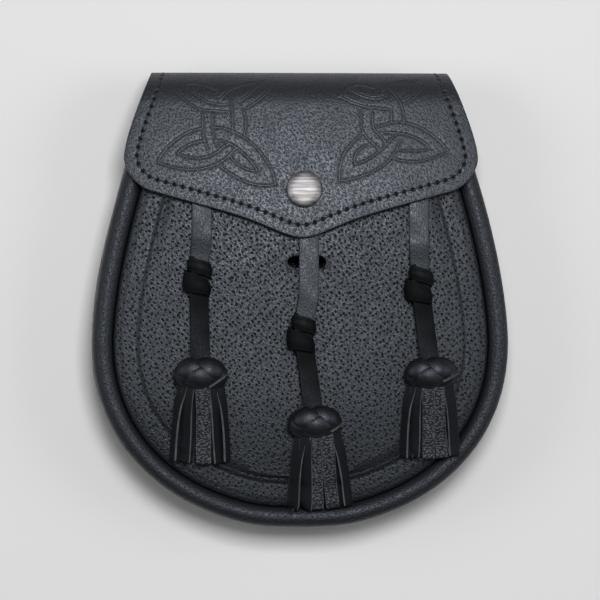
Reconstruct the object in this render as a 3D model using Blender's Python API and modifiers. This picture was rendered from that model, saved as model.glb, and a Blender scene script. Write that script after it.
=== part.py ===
"""A leather day sporran, lying on its back with its front up.

Lengths are in metres. +X is the viewer's right, +Y runs up the pouch to the fold of its flap, and +Z is up
from the surface that it rests on. The origin is on that surface, below the middle of the outline.

The pouch is a front panel and a back panel with a gusset turned between them, open at the mouth. A flap sewn
to the back folds over the mouth and is held by a snap. Three tassels lie on the front panel, each a knotted
strap, a braided knob and a fringe. Two loops on the back take a strap or belt.
"""

import math

import bmesh
import bpy
import numpy as np
from mathutils import Matrix, Vector

# Outline of the pouch, seen from the front
POUCH_WIDTH = 0.180
POUCH_LENGTH = 0.1965
WIDEST_SHARE = 0.41  # widest place above the bottom, as a share of the length
TOP_WIDTH = 0.122  # width that the taper would reach at the fold
BOTTOM_FULLNESS = 2.13  # power of the rounded bottom, where 2 is an ellipse
TAPER_POWER = 1.6

# Depth of the pouch, from its back to the seam of the front panel
BELLY_DEPTH = 0.036
MOUTH_FALL = 0.007  # how far the front sinks towards the mouth
TOE_FALL = 0.003  # and towards the bottom
FALL_START = 0.10  # where the sinking starts, as shares of the half length
TOE_START = -0.40
MOUTH_DROP = 0.016  # from the crown of the fold down to the mouth

# Leather and fits
LEATHER = 0.002
SEAT_GAP = 0.0003  # between pieces that touch

# Gusset
ROLL_WIDTH = 0.0092  # rounded edge beside the front panel
BACK_ROLL_WIDTH = 0.0076
ROLL_CREST = 0.001  # how far the roll stands above the front seam
FLANGE = 0.0012  # straight leather in the seam, below the rounding
GUSSET_BULGE = 0.0007  # the rounded edges lie this far inside the middle of the gusset

# Front panel
SHOULDER_RADIUS = 0.0027
BACK_SHOULDER_RADIUS = 0.0024
CREASE_INSET = 0.0105  # line pressed parallel to the edge
CREASE_WIDTH = 0.002
CREASE_STEP = 0.0007  # the panel inside the line stands this much higher
FRONT_DOME = 0.003
DOME_REACH = 0.062
SLOT_WIDTH = 0.0165
SLOT_HEIGHT = 0.005
SLOT_X = 0.024  # as a share of the half width
SLOT_Y = 0.165  # as a share of the half length

# Flap
FLAP_LEATHER = 0.0024
FLAP_WIDTH = 0.152
FLAP_TIP = 0.27  # lowest point of the flap, as a share of the half length
FLAP_EDGE_SLOPE = 0.28
FLAP_TIP_ROUNDING = 0.006
FLAP_LOBE_RISE = 0.0035
FLAP_LOBE_REACH = 0.017
FLAP_CORNER = 0.012
FLAP_SIDE_START = 0.61  # where the sides start to lean in, as a share of the half length
FLAP_SIDE_LEAN = 0.44
FLAP_SIDE_EASE = 0.016
FLAP_CROWN_POWER = 2.6
FLAP_BACK_REACH = 0.012
FOLD_ABOVE_MOUTH = 0.001

# Snap fastener
SNAP_X = 0.0009  # the snap sits a little to the right
SNAP_Y = 0.48  # as a share of the half length
SNAP_CAP_RADIUS = 0.00785
SNAP_CAP_HEIGHT = 0.0034
SNAP_POST_RADIUS = 0.002
SNAP_FLANGE_RADIUS = 0.0055
SNAP_FLANGE = 0.0007
SNAP_HOLE_GAP = 0.0003

# Tassels
STRAP_WIDTH = 0.0086
STRAP_LEATHER = 0.0018
KNOT_WIDTH = 0.0130
KNOT_LENGTH = 0.0160
KNOT_THICKNESS = 0.0080
KNOB_WIDTH = 0.0236
KNOB_LENGTH = 0.0148
KNOB_THICKNESS = 0.0130
BORE_CLEARANCE = 0.0012
FRINGE_TOP_WIDTH = 0.0185
FRINGE_TOP_THICKNESS = 0.0090
FRINGE_END_THICKNESS = 0.0070
FRINGE_UNEVEN = 0.0011  # how much the strips differ in length
FRINGE_STRIPS = 11
FRINGE_NOTCH = 0.40  # depth of the cuts at the end, as a share of the radius

# Belt loops
LOOP_LEATHER = 0.002
LOOP_ROOM = 0.005  # thickness of strap that passes under a loop
LOOP_CLEAR = 0.038  # width of strap that passes under a loop
LOOP_RAMP = 0.006
LOOP_TAB = 0.008
LOOP_WIDTH = 0.020
LOOP_SPREAD = 0.45  # middle of a loop, as a share of the half width
LOOP_BELOW_FLAP = 0.002

# Mesh steps
OUTLINE_STEPS = 20  # per half of the outline
DENSE_STEPS = 600
ROUND_STEPS = 18

ROLL_RADIUS = (ROLL_WIDTH - GUSSET_BULGE) / 2
BACK_ROLL_RADIUS = (BACK_ROLL_WIDTH - GUSSET_BULGE) / 2
HALF_WIDTH = POUCH_WIDTH / 2
HALF_LENGTH = POUCH_LENGTH / 2
WIDEST_Y = -HALF_LENGTH + WIDEST_SHARE * POUCH_LENGTH
MOUTH_Y = HALF_LENGTH - MOUTH_DROP
FOLD_Y = MOUTH_Y + FOLD_ABOVE_MOUTH
FLAP_BACK_Y = FOLD_Y - FLAP_BACK_REACH
LOOP_STAND = LOOP_LEATHER + LOOP_ROOM + SEAT_GAP
LOOP_HALF = LOOP_CLEAR / 2 + LOOP_RAMP + LOOP_TAB
LOOP_Y = FLAP_BACK_Y - LOOP_BELOW_FLAP - LOOP_HALF
SAG_START = -0.62 * HALF_LENGTH
SAG_END = LOOP_Y - LOOP_HALF - 0.004
FLAP_CLEAR = STRAP_LEATHER + 3 * SEAT_GAP

# Places of the tassels: x as shares of the half width, y as shares of the half length
TASSELS = [
    dict(name="left", top=(-0.474, 0.70), knot=(-0.490, 0.097),
         knob=(-0.481, -0.317), end=(-0.490, -0.71), flare=0.026),
    dict(name="centre", top=(0.034, 0.41), knot=(0.002, -0.150),
         knob=(0.058, -0.529), end=(0.080, -0.91), flare=0.028),
    dict(name="right", top=(0.559, 0.70), knot=(0.561, 0.062),
         knob=(0.610, -0.317), end=(0.622, -0.69), flare=0.027),
]

BLACK_LEATHER = (0.026, 0.029, 0.034)
SMOOTH_LEATHER = (0.020, 0.022, 0.026)
NICKEL = (0.62, 0.60, 0.58)


def smooth(t):
    """Eases from 0 to 1."""
    t = min(1.0, max(0.0, t))
    return t * t * (3 - 2 * t)


def outline_curve():
    """The right half of the pouch's outline as an array of (x, y), from above the mouth to the bottom."""
    top = MOUTH_Y + 0.3 * (HALF_LENGTH - MOUTH_Y)
    ys = np.linspace(top, WIDEST_Y, DENSE_STEPS // 2, endpoint=False)
    rise = (ys - WIDEST_Y) / (HALF_LENGTH - WIDEST_Y)
    side = np.column_stack([HALF_WIDTH - (HALF_WIDTH - TOP_WIDTH / 2) * rise**TAPER_POWER, ys])
    angle = np.linspace(math.pi / 2, 0, DENSE_STEPS // 2)
    power = 2 / BOTTOM_FULLNESS
    drop = WIDEST_Y + HALF_LENGTH
    bottom = np.column_stack([HALF_WIDTH * np.sin(angle) ** power, WIDEST_Y - drop * np.cos(angle) ** power])
    bottom[-1, 0] = 0
    return np.vstack([side, bottom])


OUTLINE = outline_curve()


def stations():
    """Points evenly along the right half of the outline, from the mouth to the bottom, with outward normals."""
    below = OUTLINE[:, 1] <= MOUTH_Y
    points = OUTLINE[below]
    lengths = np.concatenate([[0], np.cumsum(np.linalg.norm(np.diff(points, axis=0), axis=1))])
    marks = np.linspace(0, lengths[-1], OUTLINE_STEPS + 1)
    xs, ys = (np.interp(marks, lengths, points[:, k]) for k in (0, 1))
    found = []
    step = lengths[-1] / 400
    for mark, x, y in zip(marks, xs, ys):
        ends = [
            np.array([np.interp(m, lengths, points[:, k]) for k in (0, 1)])
            for m in (mark - step, mark + step)
        ]
        along = (ends[1] - ends[0]) / np.linalg.norm(ends[1] - ends[0])
        found.append([Vector((x, y)), Vector((-along[1], along[0]))])
    first, last = found[0], found[-1]
    first[0].y = MOUTH_Y
    first[1] = Vector((1 / first[1].x, 0))
    last[1] = Vector((0, -1))
    return found


STATIONS = stations()


def edge_distance(x, y):
    """How far inside the outline a point lies."""
    return float(np.min(np.hypot(OUTLINE[:, 0] - abs(x), OUTLINE[:, 1] - y)))


def front_seam(y):
    """Height of the front panel's seam."""
    up = max(0.0, (y - FALL_START * HALF_LENGTH) / (MOUTH_Y - FALL_START * HALF_LENGTH))
    down = max(0.0, (TOE_START * HALF_LENGTH - y) / ((TOE_START + 1) * HALF_LENGTH))
    return BELLY_DEPTH - MOUTH_FALL * up**2 - TOE_FALL * down**2


def back_height(y):
    """Height of the back's outer face. The belly rests on the floor, and the belt loops hold up the rest."""
    return LOOP_STAND * smooth((y - SAG_START) / (SAG_END - SAG_START))


def front_height(x, y):
    """Height of the front's outer face: the roll near the edge, then the domed panel."""
    inside = edge_distance(x, y)
    if inside < ROLL_WIDTH:
        off = inside - (ROLL_WIDTH - ROLL_RADIUS)
        return front_seam(y) + ROLL_CREST - ROLL_RADIUS + math.sqrt(max(0.0, ROLL_RADIUS**2 - off**2))
    depth = inside - ROLL_WIDTH - SEAT_GAP
    if depth < SHOULDER_RADIUS:
        return front_seam(y) + shoulder_drop(max(0.0, depth))
    return front_seam(y) + panel_rise(depth)


def shoulder_drop(depth):
    return math.sqrt(SHOULDER_RADIUS**2 - (SHOULDER_RADIUS - depth) ** 2) - SHOULDER_RADIUS


def panel_rise(depth):
    """Rise of the front panel above its seam: a step at the pressed line and a low dome."""
    step = CREASE_STEP * smooth((depth - CREASE_INSET) / CREASE_WIDTH + 0.5)
    return step + FRONT_DOME * (1 - (1 - min(1.0, depth / DOME_REACH)) ** 2)


def seat_height(x, y, half_width):
    """Height at which a flat piece of this width rests on the front."""
    return max(front_height(x + share * half_width, y) for share in (-1, -0.5, 0, 0.5, 1)) + SEAT_GAP


def flap_height(x, y):
    """Height of the flap's outer face over the front, with x from the flap's middle line."""
    crown = (FRONT_DOME + CREASE_STEP) * (1 - abs(2 * x / FLAP_WIDTH) ** FLAP_CROWN_POWER)
    return front_seam(y) + FLAP_CLEAR + FLAP_LEATHER + crown


def flap_side(y):
    """Half width of the flap as a share of its widest, which shrinks towards the fold."""
    above = max(0.0, y - FLAP_SIDE_START * HALF_LENGTH)
    lean = FLAP_SIDE_LEAN * above**2 / (above + FLAP_SIDE_EASE)
    return 1 - lean / (FLAP_WIDTH / 2)


def flap_edge(x):
    """Height up the pouch of the flap's lower edge: a rounded tip, long sloping sides and round corners."""
    x = abs(x)
    edge = FLAP_TIP * HALF_LENGTH
    edge += FLAP_EDGE_SLOPE * (math.hypot(x, FLAP_TIP_ROUNDING) - FLAP_TIP_ROUNDING)
    edge += FLAP_LOBE_RISE * (1 - math.exp(-((x / FLAP_LOBE_REACH) ** 2)))
    into_corner = (x - FLAP_WIDTH / 2) / FLAP_CORNER + 1
    if into_corner > 0:
        edge += FLAP_CORNER * (1 - math.sqrt(max(0.0, 1 - into_corner**2)))
    return edge


def clear_scene():
    for obj in list(bpy.data.objects):
        bpy.data.objects.remove(obj)
    for collection in list(bpy.data.collections):
        bpy.data.collections.remove(collection)


def new_collection(name):
    collection = bpy.data.collections.new(name)
    bpy.context.scene.collection.children.link(collection)
    return collection


def leather(name, colour, roughness):
    material = bpy.data.materials.new(name)
    material.use_nodes = True
    shader = material.node_tree.nodes["Principled BSDF"]
    shader.inputs["Base Color"].default_value = (*colour, 1)
    shader.inputs["Roughness"].default_value = roughness
    return material


def metal(name, colour, roughness):
    material = leather(name, colour, roughness)
    material.node_tree.nodes["Principled BSDF"].inputs["Metallic"].default_value = 1
    return material


def add_object(name, mesh, collection, material=None, smooth_angle=40):
    obj = bpy.data.objects.new(name, mesh)
    collection.objects.link(obj)
    if material:
        mesh.materials.append(material)
    mesh.shade_smooth()
    mesh.set_sharp_from_angle(angle=math.radians(smooth_angle))
    return obj


def grid_mesh(name, rows, around=False, caps=False):
    """A mesh through rows of points. around closes each row to a ring, and caps fills the first and last.

    Seen with its rows running down the page, a sheet faces the viewer if each row runs from left to right.
    """
    bm = bmesh.new()
    made = [[bm.verts.new(point) for point in row] for row in rows]
    for near, far in zip(made, made[1:]):
        for k in range(len(near) if around else len(near) - 1):
            after = (k + 1) % len(near)
            bm.faces.new((near[k], far[k], far[after], near[after]))
    if caps:
        bm.faces.new(made[0])
        bm.faces.new(made[-1])
        bmesh.ops.recalc_face_normals(bm, faces=bm.faces)
    mesh = bpy.data.meshes.new(name)
    bm.to_mesh(mesh)
    bm.free()
    return mesh


def add_mirror(obj):
    mirror = obj.modifiers.new("Mirror", "MIRROR")
    mirror.merge_threshold = 0.00005


def add_thickness(obj, thickness):
    """Gives a surface a wall on its inner side."""
    solidify = obj.modifiers.new("Leather", "SOLIDIFY")
    solidify.thickness = thickness
    solidify.offset = -1
    solidify.use_even_offset = True


def add_cut(obj, cutter):
    boolean = obj.modifiers.new("Cut " + cutter.name, "BOOLEAN")
    boolean.operation = "DIFFERENCE"
    boolean.object = cutter


def hide_cutter(obj):
    obj.hide_render = True
    obj.display_type = "WIRE"


def round_cutter(name, radius, length, place, collection):
    bm = bmesh.new()
    bmesh.ops.create_cone(
        bm, cap_ends=True, segments=ROUND_STEPS, radius1=radius, radius2=radius, depth=length, matrix=place
    )
    mesh = bpy.data.meshes.new(name)
    bm.to_mesh(mesh)
    bm.free()
    cutter = add_object(name, mesh, collection)
    hide_cutter(cutter)
    return cutter


def arc(centre, radius, start, end, steps):
    """Points on an arc, with angles in degrees."""
    angles = [math.radians(start + (end - start) * k / steps) for k in range(steps + 1)]
    return [(centre[0] + radius * math.cos(a), centre[1] + radius * math.sin(a)) for a in angles]


def gusset_section(y):
    """Outer face of the gusset as (distance inside the outline, height), from the front seam to the back."""
    top = front_seam(y) + ROLL_CREST - ROLL_RADIUS
    low = back_height(y) + BACK_ROLL_RADIUS
    front = arc((ROLL_WIDTH - ROLL_RADIUS, top), ROLL_RADIUS, 0, 180, 6)
    back = arc((BACK_ROLL_WIDTH - BACK_ROLL_RADIUS, low), BACK_ROLL_RADIUS, 180, 360, 5)
    return [(ROLL_WIDTH, top - FLANGE)] + front + [(0, (top + low) / 2)] + back + [(BACK_ROLL_WIDTH, low + FLANGE)]


def make_gusset(collection, material):
    rows = []
    for point, normal in STATIONS:
        section = [(point - normal * inside, height) for inside, height in gusset_section(point.y)]
        rows.append([(max(0.0, place.x), place.y, height) for place, height in section])
    gusset = add_object("gusset", grid_mesh("gusset", rows), collection, material)
    add_mirror(gusset)
    add_thickness(gusset, LEATHER)
    return gusset


def spine_point(index):
    """Point on the middle line that a station's row runs to."""
    share = index / OUTLINE_STEPS
    low = WIDEST_Y - 0.1 * POUCH_LENGTH
    return Vector((0, MOUTH_Y + (low - MOUTH_Y) * share))


def panel_rows(offset, section, inner_shares, height_at):
    """Rows of a panel from its edge to the middle line. section holds (depth, height above the seam) pairs."""
    rows = []
    for index, (point, normal) in enumerate(STATIONS):
        row = []
        for depth, height in section(point.y):
            place = point - normal * (offset + depth)
            row.append((max(0.0, place.x), place.y, height))
        start = Vector(row[-1][:2])
        for share in inner_shares:
            place = start.lerp(spine_point(index), share)
            row.append((place.x, place.y, height_at(place.x, place.y)))
        rows.append(row)
    return rows


def front_section(y):
    radius = SHOULDER_RADIUS
    seam = front_seam(y)
    bend = [(radius - r, seam - radius + h) for r, h in arc((0, 0), radius, 0, 90, 3)]
    line = [
        (depth, seam + panel_rise(depth))
        for depth in (CREASE_INSET - CREASE_WIDTH / 2, CREASE_INSET + CREASE_WIDTH / 2)
    ]
    return [(0, seam + ROLL_CREST - ROLL_RADIUS - FLANGE)] + bend + line


def back_section(y):
    radius = BACK_SHOULDER_RADIUS
    seam = back_height(y)
    bend = [(radius - r, seam + radius - h) for r, h in arc((0, 0), radius, 0, 90, 2)]
    return [(0, seam + BACK_ROLL_RADIUS + FLANGE)] + bend


def make_front_panel(collection, cutters, material):
    offset = ROLL_WIDTH + SEAT_GAP
    rows = panel_rows(offset, front_section, (0.3, 0.65, 1), front_height)
    mesh = grid_mesh("front_panel", rows)
    mesh.flip_normals()
    panel = add_object("front_panel", mesh, collection, material)
    add_mirror(panel)
    add_thickness(panel, LEATHER)
    add_cut(panel, slot_cutter(cutters))
    place = Matrix.Translation((SNAP_X, SNAP_Y * HALF_LENGTH, BELLY_DEPTH))
    hole_radius = SNAP_POST_RADIUS + SNAP_HOLE_GAP
    add_cut(panel, round_cutter("stud_hole", hole_radius, BELLY_DEPTH / 2, place, cutters))
    return panel


def slot_cutter(collection):
    """A bar with round ends, for the slot behind the middle strap."""
    radius = SLOT_HEIGHT / 2
    reach = SLOT_WIDTH / 2 - radius
    outline = arc((reach, 0), radius, -90, 90, 6) + arc((-reach, 0), radius, 90, 270, 6)
    middle = (SLOT_X * HALF_WIDTH, SLOT_Y * HALF_LENGTH, BELLY_DEPTH)
    rows = [[(x, y, z) for x, y in outline] for z in (-BELLY_DEPTH / 4, BELLY_DEPTH / 4)]
    cutter = add_object("slot_cutter", grid_mesh("slot_cutter", rows, around=True, caps=True), collection)
    cutter.location = middle
    hide_cutter(cutter)
    return cutter


def make_back_panel(collection, material):
    offset = BACK_ROLL_WIDTH + SEAT_GAP
    rows = panel_rows(offset, back_section, (0.2, 0.45, 0.72, 1), lambda x, y: back_height(y))
    panel = add_object("back_panel", grid_mesh("back_panel", rows), collection, material)
    add_mirror(panel)
    add_thickness(panel, LEATHER)
    return panel


def fold_curve(x, share):
    """Point (y, z) of the flap's outer face round the fold, for a share of the way from front to back."""
    reach = HALF_LENGTH - FOLD_Y
    top = flap_height(x, FOLD_Y)
    low = LOOP_STAND - SEAT_GAP - FLAP_LEATHER
    slope = (flap_height(x, FOLD_Y) - flap_height(x, FOLD_Y - 0.001)) / 0.001
    handle = reach * 4 / 3
    points = [(0, top), (handle, top + slope * handle), (handle, low), (0, low)]
    weights = [(1 - share) ** 3, 3 * share * (1 - share) ** 2, 3 * share**2 * (1 - share), share**3]
    return (
        FOLD_Y + sum(w * p[0] for w, p in zip(weights, points)),
        sum(w * p[1] for w, p in zip(weights, points)),
    )


def flap_column(column, front_steps=8, fold_steps=8):
    """Points of the flap's outer face from its lower edge, over the fold and down the back."""
    edge = flap_edge(column)
    points = []
    for k in range(front_steps):
        y = edge + (FOLD_Y - edge) * k / front_steps
        x = column * flap_side(y)
        points.append((x, y, flap_height(x, y)))
    for k in range(fold_steps + 1):
        y, z = fold_curve(x, k / fold_steps)
        x = column * flap_side(y if 2 * k < fold_steps else HALF_LENGTH)
        points.append((x, y, z))
    x, _, z = points[-1]
    points.append((x, FLAP_BACK_Y, z))
    return points


def make_flap(collection, cutters, material):
    half = FLAP_WIDTH / 2
    flat = half - FLAP_CORNER
    columns = [flat * share for share in (0, 0.12, 0.28, 0.46, 0.64, 0.82, 1)]
    columns += [flat + FLAP_CORNER * math.sin(math.radians(a)) for a in (30, 60, 90)]
    mesh = grid_mesh("flap", [flap_column(column) for column in columns])
    flap = add_object("flap", mesh, collection, material)
    add_mirror(flap)
    add_thickness(flap, FLAP_LEATHER)
    add_cut(flap, round_cutter("cap_hole", SNAP_POST_RADIUS + SNAP_HOLE_GAP, 0.03, snap_place(), cutters))
    return flap


def snap_place():
    """Middle of the snap on the flap's outer face, with its axis square to the face."""
    y = SNAP_Y * HALF_LENGTH
    step = 0.002
    rise_x = (flap_height(SNAP_X + step, y) - flap_height(SNAP_X - step, y)) / (2 * step)
    rise_y = (flap_height(SNAP_X, y + step) - flap_height(SNAP_X, y - step)) / (2 * step)
    turn = Vector((0, 0, 1)).rotation_difference(Vector((-rise_x, -rise_y, 1)))
    middle = Matrix.Translation((SNAP_X, y, flap_height(SNAP_X, y)))
    return middle @ turn.to_matrix().to_4x4()


def turned(name, profile, collection, material, place, ring=False):
    """A solid turned round its own Z axis, from (radius, height) points that run down its outer side."""
    mesh = bpy.data.meshes.new(name)
    edges = [(k, k + 1) for k in range(len(profile) - 1)]
    if ring:
        edges.append((len(profile) - 1, 0))
    mesh.from_pydata([(radius, 0, height) for radius, height in profile], edges, [])
    obj = add_object(name, mesh, collection, material)
    screw = obj.modifiers.new("Turn", "SCREW")
    screw.steps = ROUND_STEPS
    screw.render_steps = ROUND_STEPS
    screw.use_merge_vertices = True
    screw.merge_threshold = 0.00002
    obj.matrix_world = place
    return obj


def make_snap(collection, material):
    """The cap with its post through the flap, and the stud on the front panel."""
    rim = SEAT_GAP + 0.0004
    dome = [
        (SNAP_CAP_RADIUS * math.sin(math.radians(a)), rim + (SNAP_CAP_HEIGHT - rim) * math.cos(math.radians(a)))
        for a in (0, 22, 42, 60, 75, 90)
    ]
    dome[0] = (0, SNAP_CAP_HEIGHT)
    under = -FLAP_LEATHER - SEAT_GAP
    cap = dome + [
        (SNAP_CAP_RADIUS - 0.0006, SEAT_GAP),
        (SNAP_POST_RADIUS, SEAT_GAP),
        (SNAP_POST_RADIUS, under),
        (SNAP_FLANGE_RADIUS, under),
        (SNAP_FLANGE_RADIUS, under - SNAP_FLANGE),
        (0, under - SNAP_FLANGE),
    ]
    turned("snap_cap", cap, collection, material, snap_place())
    below = -LEATHER - SEAT_GAP
    stud = [
        (0, SEAT_GAP + SNAP_FLANGE),
        (SNAP_FLANGE_RADIUS, SEAT_GAP + SNAP_FLANGE),
        (SNAP_FLANGE_RADIUS, SEAT_GAP),
        (SNAP_POST_RADIUS, SEAT_GAP),
        (SNAP_POST_RADIUS, below),
        (SNAP_FLANGE_RADIUS, below),
        (SNAP_FLANGE_RADIUS, below - SNAP_FLANGE),
        (0, below - SNAP_FLANGE),
    ]
    place = snap_place()
    place.translation.z = front_height(place.translation.x, place.translation.y)
    turned("snap_stud", stud, collection, material, place)


def strap_section(half_width, half_thickness, roundness):
    """Eight points of a strap's section, from a flat band at roundness 0 to nearly an ellipse at 1."""
    corner = 0.0004
    cut_x = corner + (0.42 * half_width - corner) * roundness
    cut_z = corner + (0.42 * half_thickness - corner) * roundness
    w, h = half_width, half_thickness
    return [
        (w, -h + cut_z), (w, h - cut_z), (w - cut_x, h), (-w + cut_x, h),
        (-w, h - cut_z), (-w, -h + cut_z), (-w + cut_x, -h), (w - cut_x, -h),
    ]  # fmt: skip


def tassel_points(tassel):
    """The tassel's top, knot, knob and end as points in the plane."""
    places = (tassel[key] for key in ("top", "knot", "knob", "end"))
    return [Vector((x * HALF_WIDTH, y * HALF_LENGTH)) for x, y in places]


def strap_path(tassel):
    """Sections of a strap from its top to inside the knob, as (point, half width, half thickness, roundness)."""
    top, knot, knob, _ = tassel_points(tassel)
    flat = (STRAP_WIDTH / 2, STRAP_LEATHER / 2)
    lift = Vector((0, KNOT_LENGTH / 2))
    hang = Vector((top.x, knot.y)) + lift
    sections = []

    def add(place, size, rise, roundness=0):
        seat = seat_height(place.x, place.y, size[0])
        low = seat + size[1]
        sections.append(((place.x, place.y, low + rise), *size, roundness))

    for share in (0, 0.25, 0.5, 0.72, 0.88):
        lifted = smooth((share - 0.6) / 0.4) * (KNOT_THICKNESS - STRAP_LEATHER) / 3
        add(top.lerp(hang, share), flat, lifted)
    below = Vector((knot.x + (knob.x - knot.x) * 0.3, knot.y)) - lift
    for share in (0, 0.1, 0.28, 0.5, 0.72, 0.9, 1):
        swell = math.sqrt(abs(math.sin(math.pi * share)))
        size = tuple(a + (b / 2 - a) * swell for a, b in zip(flat, (KNOT_WIDTH, KNOT_THICKNESS)))
        middle = hang.lerp(below, share)
        middle.x += (knot.x - middle.x) * swell
        add(middle, size, (KNOT_THICKNESS / 2 - size[1]) * 0.8, swell)
    start = Vector(sections[-1][0])
    knob_z = knob_height(tassel)
    for share in (0.2, 0.4, 0.6, 0.8, 1):
        place = Vector((start.x, start.y)).lerp(knob, share)
        height = start.z + (knob_z - start.z) * smooth(share)
        sections.append(((place.x, place.y, height), *flat, 0))
    return sections


def knob_height(tassel):
    """Height of the knob's middle, at rest on the front panel."""
    knob = tassel_points(tassel)[2]
    return seat_height(knob.x, knob.y, KNOB_WIDTH / 4) + KNOB_THICKNESS / 2


def make_strap(tassel, collection, material):
    rows = []
    path = strap_path(tassel)
    for index, (middle, half_width, half_thickness, roundness) in enumerate(path):
        before, after = path[max(0, index - 1)][0], path[min(len(path) - 1, index + 1)][0]
        along = (Vector(after) - Vector(before)).normalized()
        across = along.cross(Vector((0, 0, 1))).normalized() * -1
        up = across.cross(along) * -1
        up = up if up.z > 0 else -up
        points = strap_section(half_width, half_thickness, roundness)
        rows.append([tuple(Vector(middle) + across * x + up * z) for x, z in points])
    name = "tassel_strap_" + tassel["name"]
    mesh = grid_mesh(name, rows, around=True, caps=True)
    add_object(name, mesh, collection, material)


def hang_turn(tassel):
    """Turn about Z that brings -Y to the line from the knob to the end of the fringe."""
    _, _, knob, end = tassel_points(tassel)
    down = end - knob
    return math.atan2(down.x, -down.y)


def make_knob(tassel, collection, material, steps=10):
    """A braided ring round the end of the strap, plain here, turned and then flattened."""
    outer = KNOB_WIDTH / 2
    bore = STRAP_WIDTH / 2 + BORE_CLEARANCE
    middle = (outer + bore) / 2
    profile = []
    for k in range(steps):
        angle = math.pi / 2 - 2 * math.pi * k / steps
        swell = math.copysign(abs(math.cos(angle)) ** 0.8, math.cos(angle))
        profile.append((middle + (outer - middle) * swell, KNOB_LENGTH / 2 * math.sin(angle)))
    knob = tassel_points(tassel)[2]
    place = Matrix.Translation((knob.x, knob.y, knob_height(tassel)))
    place @= Matrix.Rotation(hang_turn(tassel), 4, "Z") @ Matrix.Rotation(math.pi / 2, 4, "X")
    place @= Matrix.Diagonal((1, KNOB_THICKNESS / KNOB_WIDTH, 1, 1))
    turned("tassel_knob_" + tassel["name"], profile, collection, material, place, ring=True)


def fringe_ring(half_width, half_thickness, notch):
    """A ring of strips round an ellipse, three points to a strip, with a cut between each two."""
    ring = []
    for k in range(FRINGE_STRIPS):
        for turn, share in ((-0.34, 1), (0.34, 1), (0.5, 1 - notch)):
            angle = 2 * math.pi * (k + turn) / FRINGE_STRIPS + math.pi / 2
            ring.append((share * half_width * math.cos(angle), share * half_thickness * math.sin(angle)))
    return ring


def make_fringe(tassel, collection, material):
    """Strips of leather fused to a head that fills the lower part of the knob's bore."""
    _, _, knob, end = tassel_points(tassel)
    length = (end - knob).length
    down = (end - knob).normalized()
    across = Vector((-down.y, down.x))
    squash = KNOB_THICKNESS / KNOB_WIDTH
    head = STRAP_WIDTH / 2 + BORE_CLEARANCE - SEAT_GAP / squash
    below = KNOB_LENGTH / 2
    top_size = (FRINGE_TOP_WIDTH / 2, FRINGE_TOP_THICKNESS / 2)
    rings = [
        (SEAT_GAP + STRAP_LEATHER / 2, (head, head * squash), 0),
        (below + SEAT_GAP, (head, head * squash), 0),
        (below + 2 * SEAT_GAP, top_size, 0.1),
    ]
    for share in (0.35, 0.7, 1):
        ends = tassel["flare"] / 2, FRINGE_END_THICKNESS / 2
        size = tuple(a + (b - a) * share for a, b in zip(top_size, ends))
        rings.append((below + (length - below) * share, size, 0.1 + (FRINGE_NOTCH - 0.1) * share))
    rows = []
    for distance, size, notch in rings:
        middle = knob + down * distance
        sunk = smooth((distance - below) / (length - below) * 1.6)
        rest = seat_height(middle.x, middle.y, size[0]) + size[1]
        height = knob_height(tassel) + (rest - knob_height(tassel)) * sunk
        row = []
        for index, (x, z) in enumerate(fringe_ring(*size, notch)):
            short = FRINGE_UNEVEN * (1 + math.sin(2.4 * (index // 3))) if distance == length else 0
            place = middle + across * x - down * short
            row.append((place.x, place.y, height + z))
        rows.append(row)
    name = "tassel_fringe_" + tassel["name"]
    mesh = grid_mesh(name, rows, around=True, caps=True)
    add_object(name, mesh, collection, material)


def make_belt_loop(name, side, collection, material):
    """A band sewn to the back at both ends, flat on the floor between them."""
    clear = LOOP_CLEAR / 2
    seat = LOOP_STAND - SEAT_GAP - LOOP_LEATHER
    profile = [(LOOP_HALF, seat), (clear + LOOP_RAMP, seat), (clear, 0)]
    profile += [(-y, z) for y, z in reversed(profile)]
    half = LOOP_WIDTH / 2
    rows = [[(x, LOOP_Y + y, z) for y, z in profile] for x in (-half, half)]
    loop = add_object(name, grid_mesh(name, rows), collection, material)
    loop.location.x = side * LOOP_SPREAD * HALF_WIDTH
    add_thickness(loop, LOOP_LEATHER)


def main():
    clear_scene()
    pouch = new_collection("sporran_pouch")
    cutters = new_collection("cutters")
    grained = leather("grained_leather", BLACK_LEATHER, 0.5)
    plain = leather("smooth_leather", SMOOTH_LEATHER, 0.4)
    nickel = metal("brushed_nickel", NICKEL, 0.35)
    make_gusset(pouch, plain)
    make_back_panel(pouch, plain)
    make_front_panel(pouch, cutters, grained)
    make_flap(pouch, cutters, grained)
    make_snap(pouch, nickel)
    for tassel in TASSELS:
        make_strap(tassel, pouch, plain)
        make_knob(tassel, pouch, plain)
        make_fringe(tassel, pouch, plain)
    make_belt_loop("belt_loop_left", -1, pouch, plain)
    make_belt_loop("belt_loop_right", 1, pouch, plain)


main()
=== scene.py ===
import math

import bmesh
import bpy
import numpy as np
from mathutils import Matrix, Vector
from mathutils.geometry import delaunay_2d_cdt


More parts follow.
